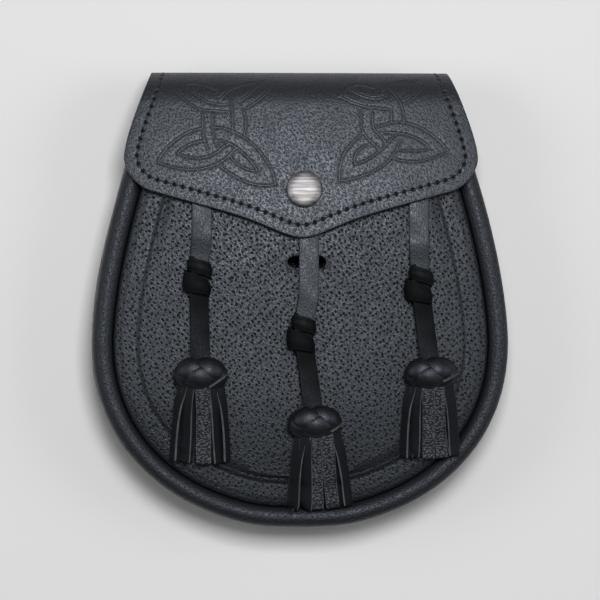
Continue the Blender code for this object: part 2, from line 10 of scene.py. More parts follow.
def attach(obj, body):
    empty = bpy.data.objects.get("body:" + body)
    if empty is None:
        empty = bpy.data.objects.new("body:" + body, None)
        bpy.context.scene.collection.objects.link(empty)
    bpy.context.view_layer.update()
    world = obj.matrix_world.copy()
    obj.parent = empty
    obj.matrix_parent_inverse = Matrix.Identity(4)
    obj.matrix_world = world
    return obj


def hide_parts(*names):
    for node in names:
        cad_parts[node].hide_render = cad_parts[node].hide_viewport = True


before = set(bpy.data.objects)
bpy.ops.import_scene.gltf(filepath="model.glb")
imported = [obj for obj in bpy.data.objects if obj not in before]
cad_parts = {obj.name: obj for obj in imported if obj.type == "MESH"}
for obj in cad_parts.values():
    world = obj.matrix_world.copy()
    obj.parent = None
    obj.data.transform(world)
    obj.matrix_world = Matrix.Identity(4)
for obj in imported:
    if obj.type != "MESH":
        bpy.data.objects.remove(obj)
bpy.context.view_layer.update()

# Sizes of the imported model, in metres
POUCH_WIDTH = 0.180
POUCH_LENGTH = 0.1965
WIDEST_SHARE = 0.41
TOP_WIDTH = 0.122
BOTTOM_FULLNESS = 2.13
BOTTOM_FLATNESS = 0.3  # extra fullness within the last few millimetres
TAPER_POWER = 1.6
BELLY_DEPTH = 0.036
MOUTH_FALL = 0.007
TOE_FALL = 0.003
FALL_START = 0.10
TOE_START = -0.40
MOUTH_DROP = 0.016
LEATHER = 0.002
SEAT_GAP = 0.0003
ROLL_WIDTH = 0.0092
BACK_ROLL_WIDTH = 0.0076
ROLL_CREST = 0.001
FLANGE = 0.0012
GUSSET_BULGE = 0.0007
SHOULDER_RADIUS = 0.0027
BACK_SHOULDER_RADIUS = 0.0024
CREASE_INSET = 0.0105
CREASE_WIDTH = 0.002
CREASE_STEP = 0.0007
FRONT_DOME = 0.003
DOME_REACH = 0.062
SLOT_WIDTH = 0.0165
SLOT_HEIGHT = 0.005
SLOT_X = 0.024
SLOT_Y = 0.165
FLAP_LEATHER = 0.0024
FLAP_WIDTH = 0.152
FLAP_TIP = 0.27
FLAP_EDGE_SLOPE = 0.28
FLAP_TIP_ROUNDING = 0.006
FLAP_LOBE_RISE = 0.0035
FLAP_LOBE_REACH = 0.017
FLAP_CORNER = 0.012
FLAP_SIDE_START = 0.61
FLAP_SIDE_LEAN = 0.44
FLAP_SIDE_EASE = 0.016
FLAP_CROWN_POWER = 2.6
FLAP_BACK_REACH = 0.012
FOLD_ABOVE_MOUTH = 0.001
SNAP_X = 0.0009
SNAP_Y = 0.48
SNAP_CAP_RADIUS = 0.00785
SNAP_CAP_HEIGHT = 0.0034
SNAP_FLANGE_RADIUS = 0.0055
STRAP_WIDTH = 0.0086
STRAP_LEATHER = 0.0018
KNOT_WIDTH = 0.0130
KNOT_LENGTH = 0.0160
KNOT_THICKNESS = 0.0080
KNOB_WIDTH = 0.0236
KNOB_LENGTH = 0.0148
KNOB_THICKNESS = 0.0130
LOOP_LEATHER = 0.002
LOOP_ROOM = 0.005
LOOP_CLEAR = 0.038
LOOP_RAMP = 0.006
LOOP_TAB = 0.008
LOOP_WIDTH = 0.020
LOOP_SPREAD = 0.45
LOOP_BELOW_FLAP = 0.002

# Sizes of what only this scene has, in metres
BUCKLE_DEPTH = 0.00022
STRIP_THICKNESS = 0.0009
WRAP_THICKNESS = 0.0017
FLAP_THREAD = 0.00030
LOOP_THREAD = 0.00032
MERGE_DISTANCE = 0.00001

ROLL_RADIUS = (ROLL_WIDTH - GUSSET_BULGE) / 2
BACK_ROLL_RADIUS = (BACK_ROLL_WIDTH - GUSSET_BULGE) / 2
HALF_WIDTH = POUCH_WIDTH / 2
HALF_LENGTH = POUCH_LENGTH / 2
WIDEST_Y = -HALF_LENGTH + WIDEST_SHARE * POUCH_LENGTH
MOUTH_Y = HALF_LENGTH - MOUTH_DROP
FOLD_Y = MOUTH_Y + FOLD_ABOVE_MOUTH
FLAP_BACK_Y = FOLD_Y - FLAP_BACK_REACH
LOOP_STAND = LOOP_LEATHER + LOOP_ROOM + SEAT_GAP
LOOP_HALF = LOOP_CLEAR / 2 + LOOP_RAMP + LOOP_TAB
LOOP_Y = FLAP_BACK_Y - LOOP_BELOW_FLAP - LOOP_HALF
SAG_START = -0.62 * HALF_LENGTH
SAG_END = LOOP_Y - LOOP_HALF - 0.004
FLAP_CLEAR = STRAP_LEATHER + 3 * SEAT_GAP

# Tassels: places as shares of the half width and half length. crossing slides the plait round its knob and
# tail is the line of the band's end, both in metres. Then come the strips of the fringe. A strip is
# (middle at the top, middle at the end, width, tilt in degrees, lift at the top, lift at the end, shorter by,
# kind), across and up in millimetres. Kind 1 shows its grain. Kind 0 shows its flesh side, coloured much
# darker as painted shade for the strips that tilt away or lie beneath the others.
TASSELS = [
    dict(
        name="left", crossing=0.0008, tail=((0.0056, 0.0052), (0.0119, -0.0003)),
        top=(-0.474, 0.70), knot=(-0.490, 0.097), knob=(-0.481, -0.317), end=(-0.490, -0.71),
        strips=[
            (-6.0, -9.6, 5.2, 20, -2.0, 1.4, 1.0, 0), (6.2, 9.6, 5.0, -20, -2.0, 1.4, 0.9, 0),
            (-2.2, -5.2, 5.6, 0, -2.6, 0.9, 0.6, 0), (3.0, 4.6, 5.6, 0, -2.6, 0.9, 0.4, 0),
            (-8.3, -11.2, 4.8, 62, 0.2, 2.3, 1.1, 0), (-5.4, -6.2, 5.6, 34, 1.5, 3.3, 0.5, 0),
            (0.6, 2.4, 6.4, 2, 2.6, 4.3, 0.0, 1), (6.2, 8.6, 5.4, -42, 1.4, 3.2, 0.3, 0),
            (9.2, 12.2, 4.6, -58, -0.2, 2.2, 1.2, 0),
        ],
    ),
    dict(
        name="centre", crossing=0.0030, tail=((0.0080, 0.0040), (0.0122, 0.0012)),
        top=(0.034, 0.41), knot=(0.002, -0.150), knob=(0.058, -0.529), end=(0.080, -0.91),
        strips=[
            (-6.4, -11.0, 5.2, 20, -2.0, 1.4, 0.8, 0), (6.4, 10.6, 5.0, -20, -2.0, 1.4, 0.9, 0),
            (-2.2, -4.6, 5.6, 0, -2.6, 0.9, 0.7, 0), (3.0, 5.0, 5.6, 0, -2.6, 0.9, 0.6, 0),
            (-6.6, -10.6, 5.6, 40, 0.4, 2.6, 0.2, 0), (-4.0, -5.2, 5.6, 24, 1.8, 3.4, 0.5, 0),
            (-0.4, 0.2, 5.0, 5, 2.4, 4.2, 0.0, 1), (4.8, 6.2, 5.6, -4, 2.2, 3.7, 0.3, 1),
            (9.6, 13.0, 5.2, -44, 0.2, 2.3, 0.6, 0),
        ],
    ),
    dict(
        name="right", crossing=0.0002, tail=((0.0056, 0.0034), (0.0118, 0.0004)),
        top=(0.559, 0.70), knot=(0.561, 0.062), knob=(0.610, -0.317), end=(0.622, -0.69),
        strips=[
            (-6.4, -10.4, 5.2, 20, -2.0, 1.4, 0.9, 0), (6.4, 9.4, 5.0, -20, -2.0, 1.4, 0.8, 0),
            (-2.2, -4.6, 5.6, 0, -2.6, 0.9, 0.6, 0), (3.0, 4.6, 5.6, 0, -2.6, 0.9, 0.5, 0),
            (-9.4, -12.4, 4.8, 55, 0.0, 2.2, 1.0, 0), (-6.6, -8.0, 5.4, 34, 1.2, 3.2, 0.9, 0),
            (-2.0, -1.2, 5.2, 6, 2.6, 4.2, 0.0, 1), (2.9, 4.0, 5.0, -4, 2.5, 3.9, 0.1, 1),
            (7.9, 9.6, 5.2, -30, 1.2, 3.1, 0.9, 0),
        ],
    ),
]


def smooth(t):
    t = np.clip(t, 0, 1)
    return t * t * (3 - 2 * t)


def lengths_along(points):
    return np.concatenate([[0], np.cumsum(np.linalg.norm(np.diff(points, axis=0), axis=1))])


def at_lengths(marks, lengths, points):
    return np.column_stack([np.interp(marks, lengths, points[:, k]) for k in (0, 1)])


def unit(vectors):
    return vectors / np.linalg.norm(vectors, axis=-1, keepdims=True)


def outline_curve(steps=1400):
    top = MOUTH_Y + 0.3 * (HALF_LENGTH - MOUTH_Y)
    ys = np.linspace(top, WIDEST_Y, steps // 2, endpoint=False)
    rise = (ys - WIDEST_Y) / (HALF_LENGTH - WIDEST_Y)
    side = np.column_stack([HALF_WIDTH - (HALF_WIDTH - TOP_WIDTH / 2) * rise**TAPER_POWER, ys])
    angle = np.linspace(math.pi / 2, 0, steps // 2)
    drop = WIDEST_Y + HALF_LENGTH
    ys = WIDEST_Y - drop * np.cos(angle) ** (2 / BOTTOM_FULLNESS)
    power = BOTTOM_FULLNESS + BOTTOM_FLATNESS * np.exp(-(ys + HALF_LENGTH) / 0.002)
    share = np.clip((WIDEST_Y - ys) / drop, 0, 1)
    xs = HALF_WIDTH * (1 - share**power) ** (1 / power)
    xs[-1] = 0
    return np.vstack([side, np.column_stack([xs, ys])])


OUTLINE = outline_curve()


def stations(count):
    """Points and outward normals along the right half of the outline, from the mouth to the bottom."""
    points = OUTLINE[OUTLINE[:, 1] <= MOUTH_Y]
    lengths = lengths_along(points)
    marks = np.linspace(0, lengths[-1], count + 1)
    step = lengths[-1] / 300
    places = at_lengths(marks, lengths, points)
    along = unit(at_lengths(marks + step, lengths, points) - at_lengths(marks - step, lengths, points))
    normals = np.column_stack([-along[:, 1], along[:, 0]])
    places[0, 1] = MOUTH_Y
    lean = 1 - smooth(marks / 0.012)
    square = np.column_stack([1 / np.maximum(0.5, normals[:, 0]), np.zeros(len(normals))])
    normals = normals * (1 - lean)[:, None] + square * lean[:, None]
    foot = smooth((marks - lengths[-1] + 0.002) / 0.002)[:, None]
    normals = normals * (1 - foot) + np.array([[0, -1]]) * foot
    return places, normals, marks


def edge_distance(x, y):
    x, y = np.abs(np.ravel(x)), np.ravel(y)
    found = np.empty(len(x))
    for start in range(0, len(x), 4000):
        part = slice(start, start + 4000)
        found[part] = np.hypot(x[part, None] - OUTLINE[:, 0], y[part, None] - OUTLINE[:, 1]).min(axis=1)
    return found


def front_seam(y):
    up = np.maximum(0, (y - FALL_START * HALF_LENGTH) / (MOUTH_Y - FALL_START * HALF_LENGTH))
    down = np.maximum(0, (TOE_START * HALF_LENGTH - y) / ((TOE_START + 1) * HALF_LENGTH))
    return BELLY_DEPTH - MOUTH_FALL * up**2 - TOE_FALL * down**2


def back_height(y):
    return LOOP_STAND * smooth((y - SAG_START) / (SAG_END - SAG_START))


def panel_rise(depth):
    """Rise above the seam: a step at the pressed line, the line itself and a low dome."""
    step = CREASE_STEP * smooth((depth - CREASE_INSET) / CREASE_WIDTH + 0.5)
    line = 0.00008 * np.exp(-(((depth - CREASE_INSET + 0.0004) / 0.0010) ** 2))
    return step - line + FRONT_DOME * (1 - (1 - np.minimum(1, depth / DOME_REACH)) ** 2)


def front_height(x, y):
    inside = edge_distance(x, y)
    y = np.ravel(y)
    off = inside - (ROLL_WIDTH - ROLL_RADIUS)
    roll = ROLL_CREST - ROLL_RADIUS + np.sqrt(np.maximum(0, ROLL_RADIUS**2 - off**2))
    depth = np.maximum(0, inside - ROLL_WIDTH - SEAT_GAP)
    bend = np.minimum(depth, SHOULDER_RADIUS)
    bend = np.sqrt(SHOULDER_RADIUS**2 - (SHOULDER_RADIUS - bend) ** 2) - SHOULDER_RADIUS
    return front_seam(y) + np.where(inside < ROLL_WIDTH, roll, bend + panel_rise(depth))


def seat_height(x, y, half_width):
    across = [front_height(x + share * half_width, y) for share in (-1, -0.5, 0, 0.5, 1)]
    return np.max(across, axis=0) + SEAT_GAP


def flap_height(x, y):
    crown = (FRONT_DOME + CREASE_STEP) * (1 - np.abs(2 * x / FLAP_WIDTH) ** FLAP_CROWN_POWER)
    return front_seam(y) + FLAP_CLEAR + FLAP_LEATHER + crown


def flap_side(y):
    above = np.maximum(0, y - FLAP_SIDE_START * HALF_LENGTH)
    return 1 - FLAP_SIDE_LEAN * above**2 / (above + FLAP_SIDE_EASE) / (FLAP_WIDTH / 2)


def flap_edge(x):
    x = np.abs(x)
    edge = FLAP_TIP * HALF_LENGTH + FLAP_EDGE_SLOPE * (np.hypot(x, FLAP_TIP_ROUNDING) - FLAP_TIP_ROUNDING)
    edge = edge + FLAP_LOBE_RISE * (1 - np.exp(-((x / FLAP_LOBE_REACH) ** 2)))
    corner = np.clip((x - FLAP_WIDTH / 2) / FLAP_CORNER + 1, 0, 1)
    return edge + FLAP_CORNER * (1 - np.sqrt(1 - corner**2))


def fold_curve(x, share):
    """(y, z) of the flap's outer face round the fold."""
    reach = HALF_LENGTH - FOLD_Y
    top = flap_height(x, FOLD_Y)
    low = LOOP_STAND - SEAT_GAP - FLAP_LEATHER
    slope = (top - flap_height(x, FOLD_Y - 0.001)) / 0.001
    handle = reach * 4 / 3
    weights = ((1 - share) ** 3, 3 * share * (1 - share) ** 2, 3 * share**2 * (1 - share), share**3)
    y = FOLD_Y + handle * (weights[1] + weights[2])
    z = weights[0] * top + weights[1] * (top + slope * handle) + (weights[2] + weights[3]) * low
    return y, z


SHARES = np.linspace(0, 1, 241)
FOLD_AT = np.column_stack(fold_curve(0.0, SHARES))
FOLD_LENGTHS = lengths_along(FOLD_AT)
FOLD_LENGTH = FOLD_LENGTHS[-1]
FLAP_TOTAL = FOLD_Y + FOLD_LENGTH + FLAP_BACK_REACH


def flap_surface(x, s):
    """Point of the flap's outer face, s along the leather: up the front, round the fold, down the back."""
    share = np.interp(s - FOLD_Y, FOLD_LENGTHS, SHARES)
    fold_y, fold_z = fold_curve(x, share)
    back = s - FOLD_Y - FOLD_LENGTH
    front = s < FOLD_Y
    y = np.where(front, s, np.where(back > 0, FOLD_Y - back, fold_y))
    z = np.where(front, flap_height(x, s), fold_z)
    return np.stack([x + 0 * s, y, z], axis=-1)


def flap_half(s):
    """Half width of the flap at s."""
    y = np.where(s < FOLD_Y, s, np.interp(s - FOLD_Y, FOLD_LENGTHS, FOLD_AT[:, 0]))
    crown = FOLD_Y + FOLD_LENGTHS[120]
    return FLAP_WIDTH / 2 * flap_side(np.where(s > crown, HALF_LENGTH, y))


def flap_place(x, s, rise):
    """Points at a height above the flap's outer face, with the face's normals."""
    step = 0.0004
    along_x = flap_surface(x + step, s) - flap_surface(x - step, s)
    along_s = flap_surface(x, s + step) - flap_surface(x, s - step)
    normals = unit(np.cross(along_x, along_s))
    return flap_surface(x, s) + normals * np.asarray(rise)[..., None], normals


# Meshes

class Shell:
    """Collects one piece: its points, its faces and each point's place in the leather and tone."""

    def __init__(self):
        self.points, self.faces, self.grain, self.tone = [], [], [], []
        self.count = 0

    def add(self, points, faces, grain, tone=(0, 0, 0)):
        points = np.asarray(points, float).reshape(-1, 3)
        grain = np.asarray(grain, float).reshape(-1, 3)
        tone = np.broadcast_to(np.asarray(tone, float), (len(points), 3))
        self.points.append(points)
        self.grain.append(grain)
        self.tone.append(tone)
        self.faces += [tuple(int(k) + self.count for k in face) for face in faces]
        self.count += len(points)

    def grid(self, rows, grain, tone=(0, 0, 0), around=False, caps=False):
        rows = np.asarray(rows, float)
        down, across = rows.shape[:2]
        faces = []
        for i in range(down - 1):
            for k in range(across if around else across - 1):
                after = (k + 1) % across
                near, far = i * across, (i + 1) * across
                faces.append((near + k, far + k, far + after, near + after))
        if caps:
            faces.append(tuple(range(across)))
            faces.append(tuple(reversed(range((down - 1) * across, down * across))))
        tone = np.broadcast_to(np.asarray(tone, float), rows.shape).reshape(-1, 3)
        self.add(rows.reshape(-1, 3), faces, grain, tone)

    def build(self, name, material, merge=0.0, outward=True):
        mesh = bpy.data.meshes.new(name)
        points = np.vstack(self.points)
        mesh.from_pydata(points.tolist(), [], self.faces)
        for label, values in (("grain", self.grain), ("tone", self.tone)):
            layer = mesh.attributes.new(label, "FLOAT_VECTOR", "POINT")
            layer.data.foreach_set("vector", np.vstack(values).ravel())
        if merge or outward:
            bm = bmesh.new()
            bm.from_mesh(mesh)
            if merge:
                bmesh.ops.remove_doubles(bm, verts=bm.verts, dist=merge)
            if outward:
                bmesh.ops.recalc_face_normals(bm, faces=bm.faces)
            bm.to_mesh(mesh)
            bm.free()
        mesh.materials.append(material)
        mesh.shade_smooth()
        obj = bpy.data.objects.new(name, mesh)
        bpy.context.scene.collection.objects.link(obj)
        return obj


def finish_piece(obj, slot, *nodes):
    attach(obj, "root")
    if nodes:
        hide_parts(*nodes)


def band_section(half, thick, corner, crown):
    """Ring of (across, up) points of a flat band with rounded edges, and how much each is cut edge."""
    ring, cut = [], []

    def round_corner(side, level, start, turns):
        for k in turns:
            a = math.radians(start - 30 * k)
            across = side * (half - corner) + corner * math.cos(a)
            ring.append((across, level * (thick / 2 - corner) + corner * math.sin(a)))
            cut.append(1 if abs(math.cos(a)) > 0.4 else 0)

    for t in np.linspace(-1, 1, 7):
        ring.append((t * (half - corner), thick / 2 + crown * (1 - t * t)))
        cut.append(0)
    round_corner(1, 1, 90, (1, 2, 3))
    round_corner(1, -1, 0, (1, 2, 3))
    for t in (0.4, -0.4):
        ring.append((t * half, -thick / 2))
        cut.append(0)
    round_corner(-1, -1, 270, (0, 1, 2))
    round_corner(-1, 1, 180, (0, 1, 2))
    return np.array(ring), np.array(cut, float)


def sweep_band(shell, path, normals, half, thick, corner=0.0004, crown=0.0, shift=0.0, kind=0.0, dark=0.0):
    """A flat band along a path, its face towards the normals. half, thick and dark may vary along it."""
    path, normals = np.asarray(path, float), np.asarray(normals, float)
    along = unit(np.gradient(path, axis=0))
    normals = unit(normals - (normals * along).sum(1)[:, None] * along)
    across = np.cross(along, normals)
    half, thick, dark = (np.broadcast_to(item, len(path)) for item in (half, thick, dark))
    run = lengths_along(path)
    rows, grain, tone = [], [], []
    for k in range(len(path)):
        ring, cut = band_section(half[k], thick[k], min(corner, thick[k] * 0.45), crown)
        rows.append(path[k] + ring[:, :1] * across[k] + ring[:, 1:] * normals[k])
        grain += [(u + shift, run[k] + shift * 3, v) for u, v in ring]
        tone += [(c, kind, dark[k]) for c in cut]
    rows = np.array(rows)
    shell.grid(rows, grain, np.array(tone).reshape(rows.shape), around=True, caps=True)


# Materials

def new_material(name):
    material = bpy.data.materials.new(name)
    material.use_nodes = True
    return material, material.node_tree.nodes["Principled BSDF"], Nodes(material.node_tree)


def grained_material(name):
    """A new material, with each point's place in the leather and its tone."""
    material, shader, n = new_material(name)
    return material, shader, n, n.attribute("grain"), n.split(n.attribute("tone"))


SHEEN_TINT = (0.80, 0.88, 1.0, 1)
GRAIN_SLANT = math.radians(50)


class Nodes:
    """Short names for the nodes that the materials share."""

    def __init__(self, tree):
        self.tree = tree

    def link(self, out, to):
        self.tree.links.new(out, to)

    def feed(self, socket, value):
        if isinstance(value, (int, float)):
            socket.default_value = value
        elif isinstance(value, tuple):
            socket.default_value = (*value, 1)[:len(socket.default_value)]
        else:
            self.link(value, socket)

    def make(self, kind, values, **settings):
        """A new node with its settings, and its inputs set or linked."""
        node = self.tree.nodes.new("ShaderNode" + kind)
        for key, value in settings.items():
            setattr(node, key, value)
        for key, value in values.items():
            self.feed(node.inputs[key], value)
        return node

    def attribute(self, name):
        return self.make("Attribute", {}, attribute_name=name).outputs["Vector"]

    def split(self, vector):
        return self.make("SeparateXYZ", {0: vector}).outputs

    def scaled(self, vector, scale):
        return self.make("VectorMath", {0: vector, 1: scale}, operation="MULTIPLY").outputs[0]

    def added(self, vector, other):
        return self.make("VectorMath", {0: vector, 1: other}, operation="ADD").outputs[0]

    def turned(self, vector, angle):
        values = {"Vector": vector, "Angle": angle}
        return self.make("VectorRotate", values, rotation_type="Z_AXIS").outputs[0]

    def noise(self, vector, scale, detail=2.0, roughness=0.5, colour=False):
        values = {"Vector": vector, "Scale": scale, "Detail": detail, "Roughness": roughness}
        return self.make("TexNoise", values).outputs["Color" if colour else "Fac"]

    def voronoi(self, vector, scale, randomness=1.0, flat=True):
        values = {"Vector": vector, "Scale": scale, "Randomness": randomness}
        return self.make("TexVoronoi", values, voronoi_dimensions="2D" if flat else "3D")

    def math(self, operation, *values, clamp=False):
        return self.make("Math", dict(enumerate(values)), operation=operation, use_clamp=clamp).outputs[0]

    def times(self, a, b):
        return self.math("MULTIPLY", a, b)

    def plus(self, a, b):
        return self.math("ADD", a, b)

    def ranged(self, value, low, high, to_low=0.0, to_high=1.0, ease=True):
        values = dict(enumerate((value, low, high, to_low, to_high)))
        kind = "SMOOTHSTEP" if ease else "LINEAR"
        return self.make("MapRange", values, interpolation_type=kind).outputs[0]

    def mixed(self, share, a, b, blend="MIX"):
        return self.make("Mix", {0: share, 6: a, 7: b}, data_type="RGBA", blend_type=blend).outputs[2]

    def bump(self, height, distance, strength=1.0):
        values = {"Height": height, "Distance": distance, "Strength": strength}
        return self.make("Bump", values).outputs[0]


def finish_leather(n, shader, height, gloss):
    n.link(n.bump(height, 0.001), shader.inputs["Normal"])
    shader.inputs["Specular Tint"].default_value = SHEEN_TINT
    shader.inputs["Specular IOR Level"].default_value = gloss


def pigskin(name, base, pit_size, pit_depth, grain_depth, dull, shine, streaks, order, gloss, pore_light):
    """Grained leather: shiny skin with pores in slanting rows, fine creases and small hollows."""
    material, shader, n, place, tone = grained_material(name)
    lines = n.turned(place, GRAIN_SLANT)
    wander = n.scaled(n.noise(place, 230, colour=True), (0.0011, 0.0011, 0))
    moved = n.added(lines, wander)
    cells = n.voronoi(n.scaled(moved, (0.88, 1.08, 1.0)), 455, order)
    own = n.split(cells.outputs["Color"])
    size = n.ranged(own[0], 0, 1, pit_size * 0.65, pit_size, ease=False)
    rim = n.times(size, 0.3), n.times(size, 1.35)
    bowls = n.ranged(cells.outputs["Distance"], *rim, 1.0, 0.0)
    small = n.voronoi(n.scaled(moved, (0.6, 1.1, 1.0)), 900, 0.95)
    hollows = n.ranged(small.outputs["Distance"], 0.12, 0.42, 1.0, 0.0)
    fine = n.noise(place, 1700, 2, 0.6)
    streak = n.noise(n.scaled(moved, (0.48, 1.0, 1.0)), 1900, 2, 0.55)
    broad = n.noise(place, 95, 3, 0.55)
    mix = n.plus(n.times(fine, 1 - streaks), n.times(streak, streaks))
    light = n.ranged(mix, 0.36, 0.60, 1 - dull, 1.0)
    light = n.times(light, n.ranged(broad, 0.3, 0.7, 0.85, 1.0))
    light = n.times(light, n.ranged(hollows, 0, 1, 1.0, 0.80))
    light = n.times(light, n.ranged(bowls, 0, 0.7, 1.0, pore_light))
    light = n.math("MAXIMUM", light, tone[1])
    # painted shade: tone z darkens the embossed grooves and the stitch holes
    light = n.times(light, n.ranged(tone[2], 0, 1, 1.0, 0.15))
    grey = n.mixed(1.0, base, n.ranged(light, 0, 1, 0.2, 1.25, ease=False), "MULTIPLY")
    n.link(n.mixed(tone[0], grey, tuple(0.8 * c for c in base)), shader.inputs["Base Color"])
    n.link(n.ranged(light, 0, 1, 0.85, shine, ease=False), shader.inputs["Roughness"])
    plain = n.ranged(tone[1], 0, 1, 1.0, 0.0)
    bowls = n.times(bowls, plain)
    height = n.math("SUBTRACT", n.times(mix, grain_depth), n.times(bowls, pit_depth))
    height = n.math("SUBTRACT", height, n.times(n.times(hollows, plain), grain_depth * 0.8))
    finish_leather(n, shader, height, gloss)
    return material


def plain_leather(name, base, flesh, edge, roughness, gloss, grain=1.0):
    """Smooth leather with a faint, finely netted grain. tone x is cut edge, y flesh side and z darkens as
    painted shade.
    """
    material, shader, n, place, tone = grained_material(name)
    fine = n.noise(n.scaled(place, (1.0, 0.6, 1.0)), 1500, 4, 0.6)
    broad = n.noise(place, 130, 3, 0.5)
    wrinkles = n.voronoi(n.scaled(place, (1.0, 0.6, 1.0)), 1500, 1.0, flat=False)
    net = n.ranged(wrinkles.outputs["Distance"], 0.15, 0.55, 1.0, 0.0)
    light = n.ranged(fine, 0.3, 0.7, 1 - 0.22 * grain, 1 + 0.22 * grain, ease=False)
    light = n.times(light, n.ranged(broad, 0.3, 0.7, 0.84, 1.16))
    light = n.times(light, n.ranged(net, 0, 1, 1.0, 1 - 0.12 * grain))
    light = n.times(light, n.ranged(tone[2], 0, 1, 1.0, 0.35))
    colour = n.mixed(tone[1], base, flesh)
    colour = n.mixed(tone[0], colour, edge)
    n.link(n.mixed(1.0, colour, light, "MULTIPLY"), shader.inputs["Base Color"])
    rough = n.plus(n.times(fine, 0.6), n.times(broad, 0.4))
    rough = n.ranged(rough, 0.3, 0.7, roughness - 0.06 * grain, roughness + 0.10 * grain)
    rough = n.math("ADD", rough, n.times(n.math("MAXIMUM", tone[1], tone[2]), 0.32), clamp=True)
    n.link(rough, shader.inputs["Roughness"])
    height = n.math("SUBTRACT", n.times(fine, 0.04 * grain), n.times(net, 0.03 * grain))
    height = n.plus(height, n.times(broad, 0.06))
    finish_leather(n, shader, height, gloss)
    return material


def strip_leather(name, grain_base, flesh, edge, gloss):
    """Leather of the fringe: grained strips and strips that show their flesh side, whose very dark colour is
    partly painted shade, with paler cut edges.
    """
    material, shader, n, place, tone = grained_material(name)
    fine = n.noise(n.scaled(place, (1.0, 1.3, 1.0)), 1300, 3, 0.6)
    fibre = n.noise(n.scaled(place, (1.0, 0.12, 1.0)), 1900, 2, 0.6)
    broad = n.noise(place, 170, 2, 0.5)
    wander = n.scaled(n.noise(place, 420, colour=True), (0.0016, 0.0016, 0))
    pebbles = n.voronoi(n.scaled(n.added(place, wander), (0.62, 1.35, 1.0)), 1050, 1.0)
    crests = n.ranged(pebbles.outputs["Distance"], 0.08, 0.55, 1.0, 0.0)
    grained = n.ranged(fine, 0.3, 0.7, 0.7, 1.2, ease=False)
    grained = n.times(grained, n.ranged(crests, 0, 1, 0.22, 1.75))
    dark = n.ranged(fibre, 0.3, 0.7, 0.65, 1.35, ease=False)
    face = n.mixed(1.0, grain_base, grained, "MULTIPLY")
    back = n.mixed(1.0, flesh, dark, "MULTIPLY")
    colour = n.mixed(tone[1], back, face)
    cut = n.mixed(1.0, edge, n.ranged(fibre, 0.3, 0.7, 0.7, 1.3), "MULTIPLY")
    colour = n.mixed(tone[0], colour, cut)
    # painted shade: tone z darkens the strips near the knob and under the others, on top of a broad random
    # tone
    shade = n.times(n.ranged(broad, 0.3, 0.7, 0.85, 1.15), n.ranged(tone[2], 0, 1, 1.0, 0.25))
    n.link(n.mixed(1.0, colour, shade, "MULTIPLY"), shader.inputs["Base Color"])
    n.link(n.ranged(n.times(tone[1], grained), 0, 1.2, 0.75, 0.40), shader.inputs["Roughness"])
    height = n.plus(n.times(fine, 0.12), n.times(fibre, 0.08))
    height = n.plus(height, n.times(n.times(crests, tone[1]), 0.12))
    finish_leather(n, shader, height, gloss)
    return material


def thread_material(name, base):
    material, shader, n = new_material(name)
    place = n.split(n.attribute("grain"))
    twist = n.math("SINE", n.plus(n.times(place[0], 5200), n.times(place[1], 4200)))
    light = n.ranged(twist, -1, 1, 0.55, 1.35)
    n.link(n.mixed(1.0, base, light, "MULTIPLY"), shader.inputs["Base Color"])
    n.link(n.ranged(twist, -1, 1, 0.55, 0.4), shader.inputs["Roughness"])
    n.link(n.bump(twist, 0.00005), shader.inputs["Normal"])
    return material


def brushed_metal(name, base):
    """Metal brushed from side to side, with broad pale and dark bands of painted reflection. tone z adds
    painted shade.
    """
    material, shader, n, place, tone = grained_material(name)
    brush = n.noise(n.scaled(place, (0.05, 1.0, 1.0)), 5200, 3, 0.6)
    # painted reflection: broad pale and dark bands across the dome
    reflection_bands = n.noise(n.scaled(place, (0.05, 1.0, 1.0)), 700, 2, 0.5)
    light = n.ranged(brush, 0.3, 0.7, 0.72, 1.15, ease=False)
    light = n.times(light, n.ranged(reflection_bands, 0.38, 0.62, 0.62, 1.16))
    light = n.times(light, n.ranged(tone[2], 0, 1, 1.0, 0.12))
    n.link(n.mixed(1.0, base, light, "MULTIPLY"), shader.inputs["Base Color"])
    n.link(n.ranged(brush, 0.3, 0.7, 0.48, 0.60), shader.inputs["Roughness"])
    shader.inputs["Metallic"].default_value = 1.0
    n.link(n.bump(brush, 0.00004, 0.6), shader.inputs["Normal"])
    return material


FLAP_SKIN = pigskin(
    "flap_leather", (0.0105, 0.0115, 0.0140), pit_size=0.125, pit_depth=0.16, grain_depth=0.09, dull=0.44,
    shine=0.35, streaks=0.45, order=0.95, gloss=0.67, pore_light=0.36)
PANEL_SKIN = pigskin(
    "panel_leather", (0.0090, 0.0100, 0.0120), pit_size=0.22, pit_depth=0.46, grain_depth=0.09, dull=0.42,
    shine=0.34, streaks=0.60, order=0.62, gloss=0.47, pore_light=0.0)
ROLL = pigskin(
    "gusset_leather", (0.0085, 0.0095, 0.0120), pit_size=0.11, pit_depth=0.22, grain_depth=0.12, dull=0.50,
    shine=0.38, streaks=0.50, order=0.95, gloss=0.46, pore_light=0.45)
PLAIN = plain_leather(
    "smooth_leather_worn", (0.011, 0.012, 0.015), flesh=(0.004, 0.004, 0.005), edge=(0.012, 0.013, 0.014),
    roughness=0.45, gloss=0.46, grain=1.8)
BRAID = plain_leather(
    "braid_leather", (0.005, 0.0055, 0.0065), flesh=(0.005, 0.005, 0.006), edge=(0.060, 0.062, 0.064),
    roughness=0.42, gloss=0.38)
DARK = plain_leather(
    "smooth_leather_dark", (0.004, 0.0045, 0.005), flesh=(0.002, 0.002, 0.003), edge=(0.010, 0.011, 0.012),
    roughness=0.46, gloss=0.12, grain=1.6)
STRIPS = strip_leather(
    "fringe_leather", (0.044, 0.048, 0.054), flesh=(0.003, 0.0035, 0.0045), edge=(0.078, 0.083, 0.088),
    gloss=0.28)
THREAD = thread_material("black_thread", (0.004, 0.004, 0.005))
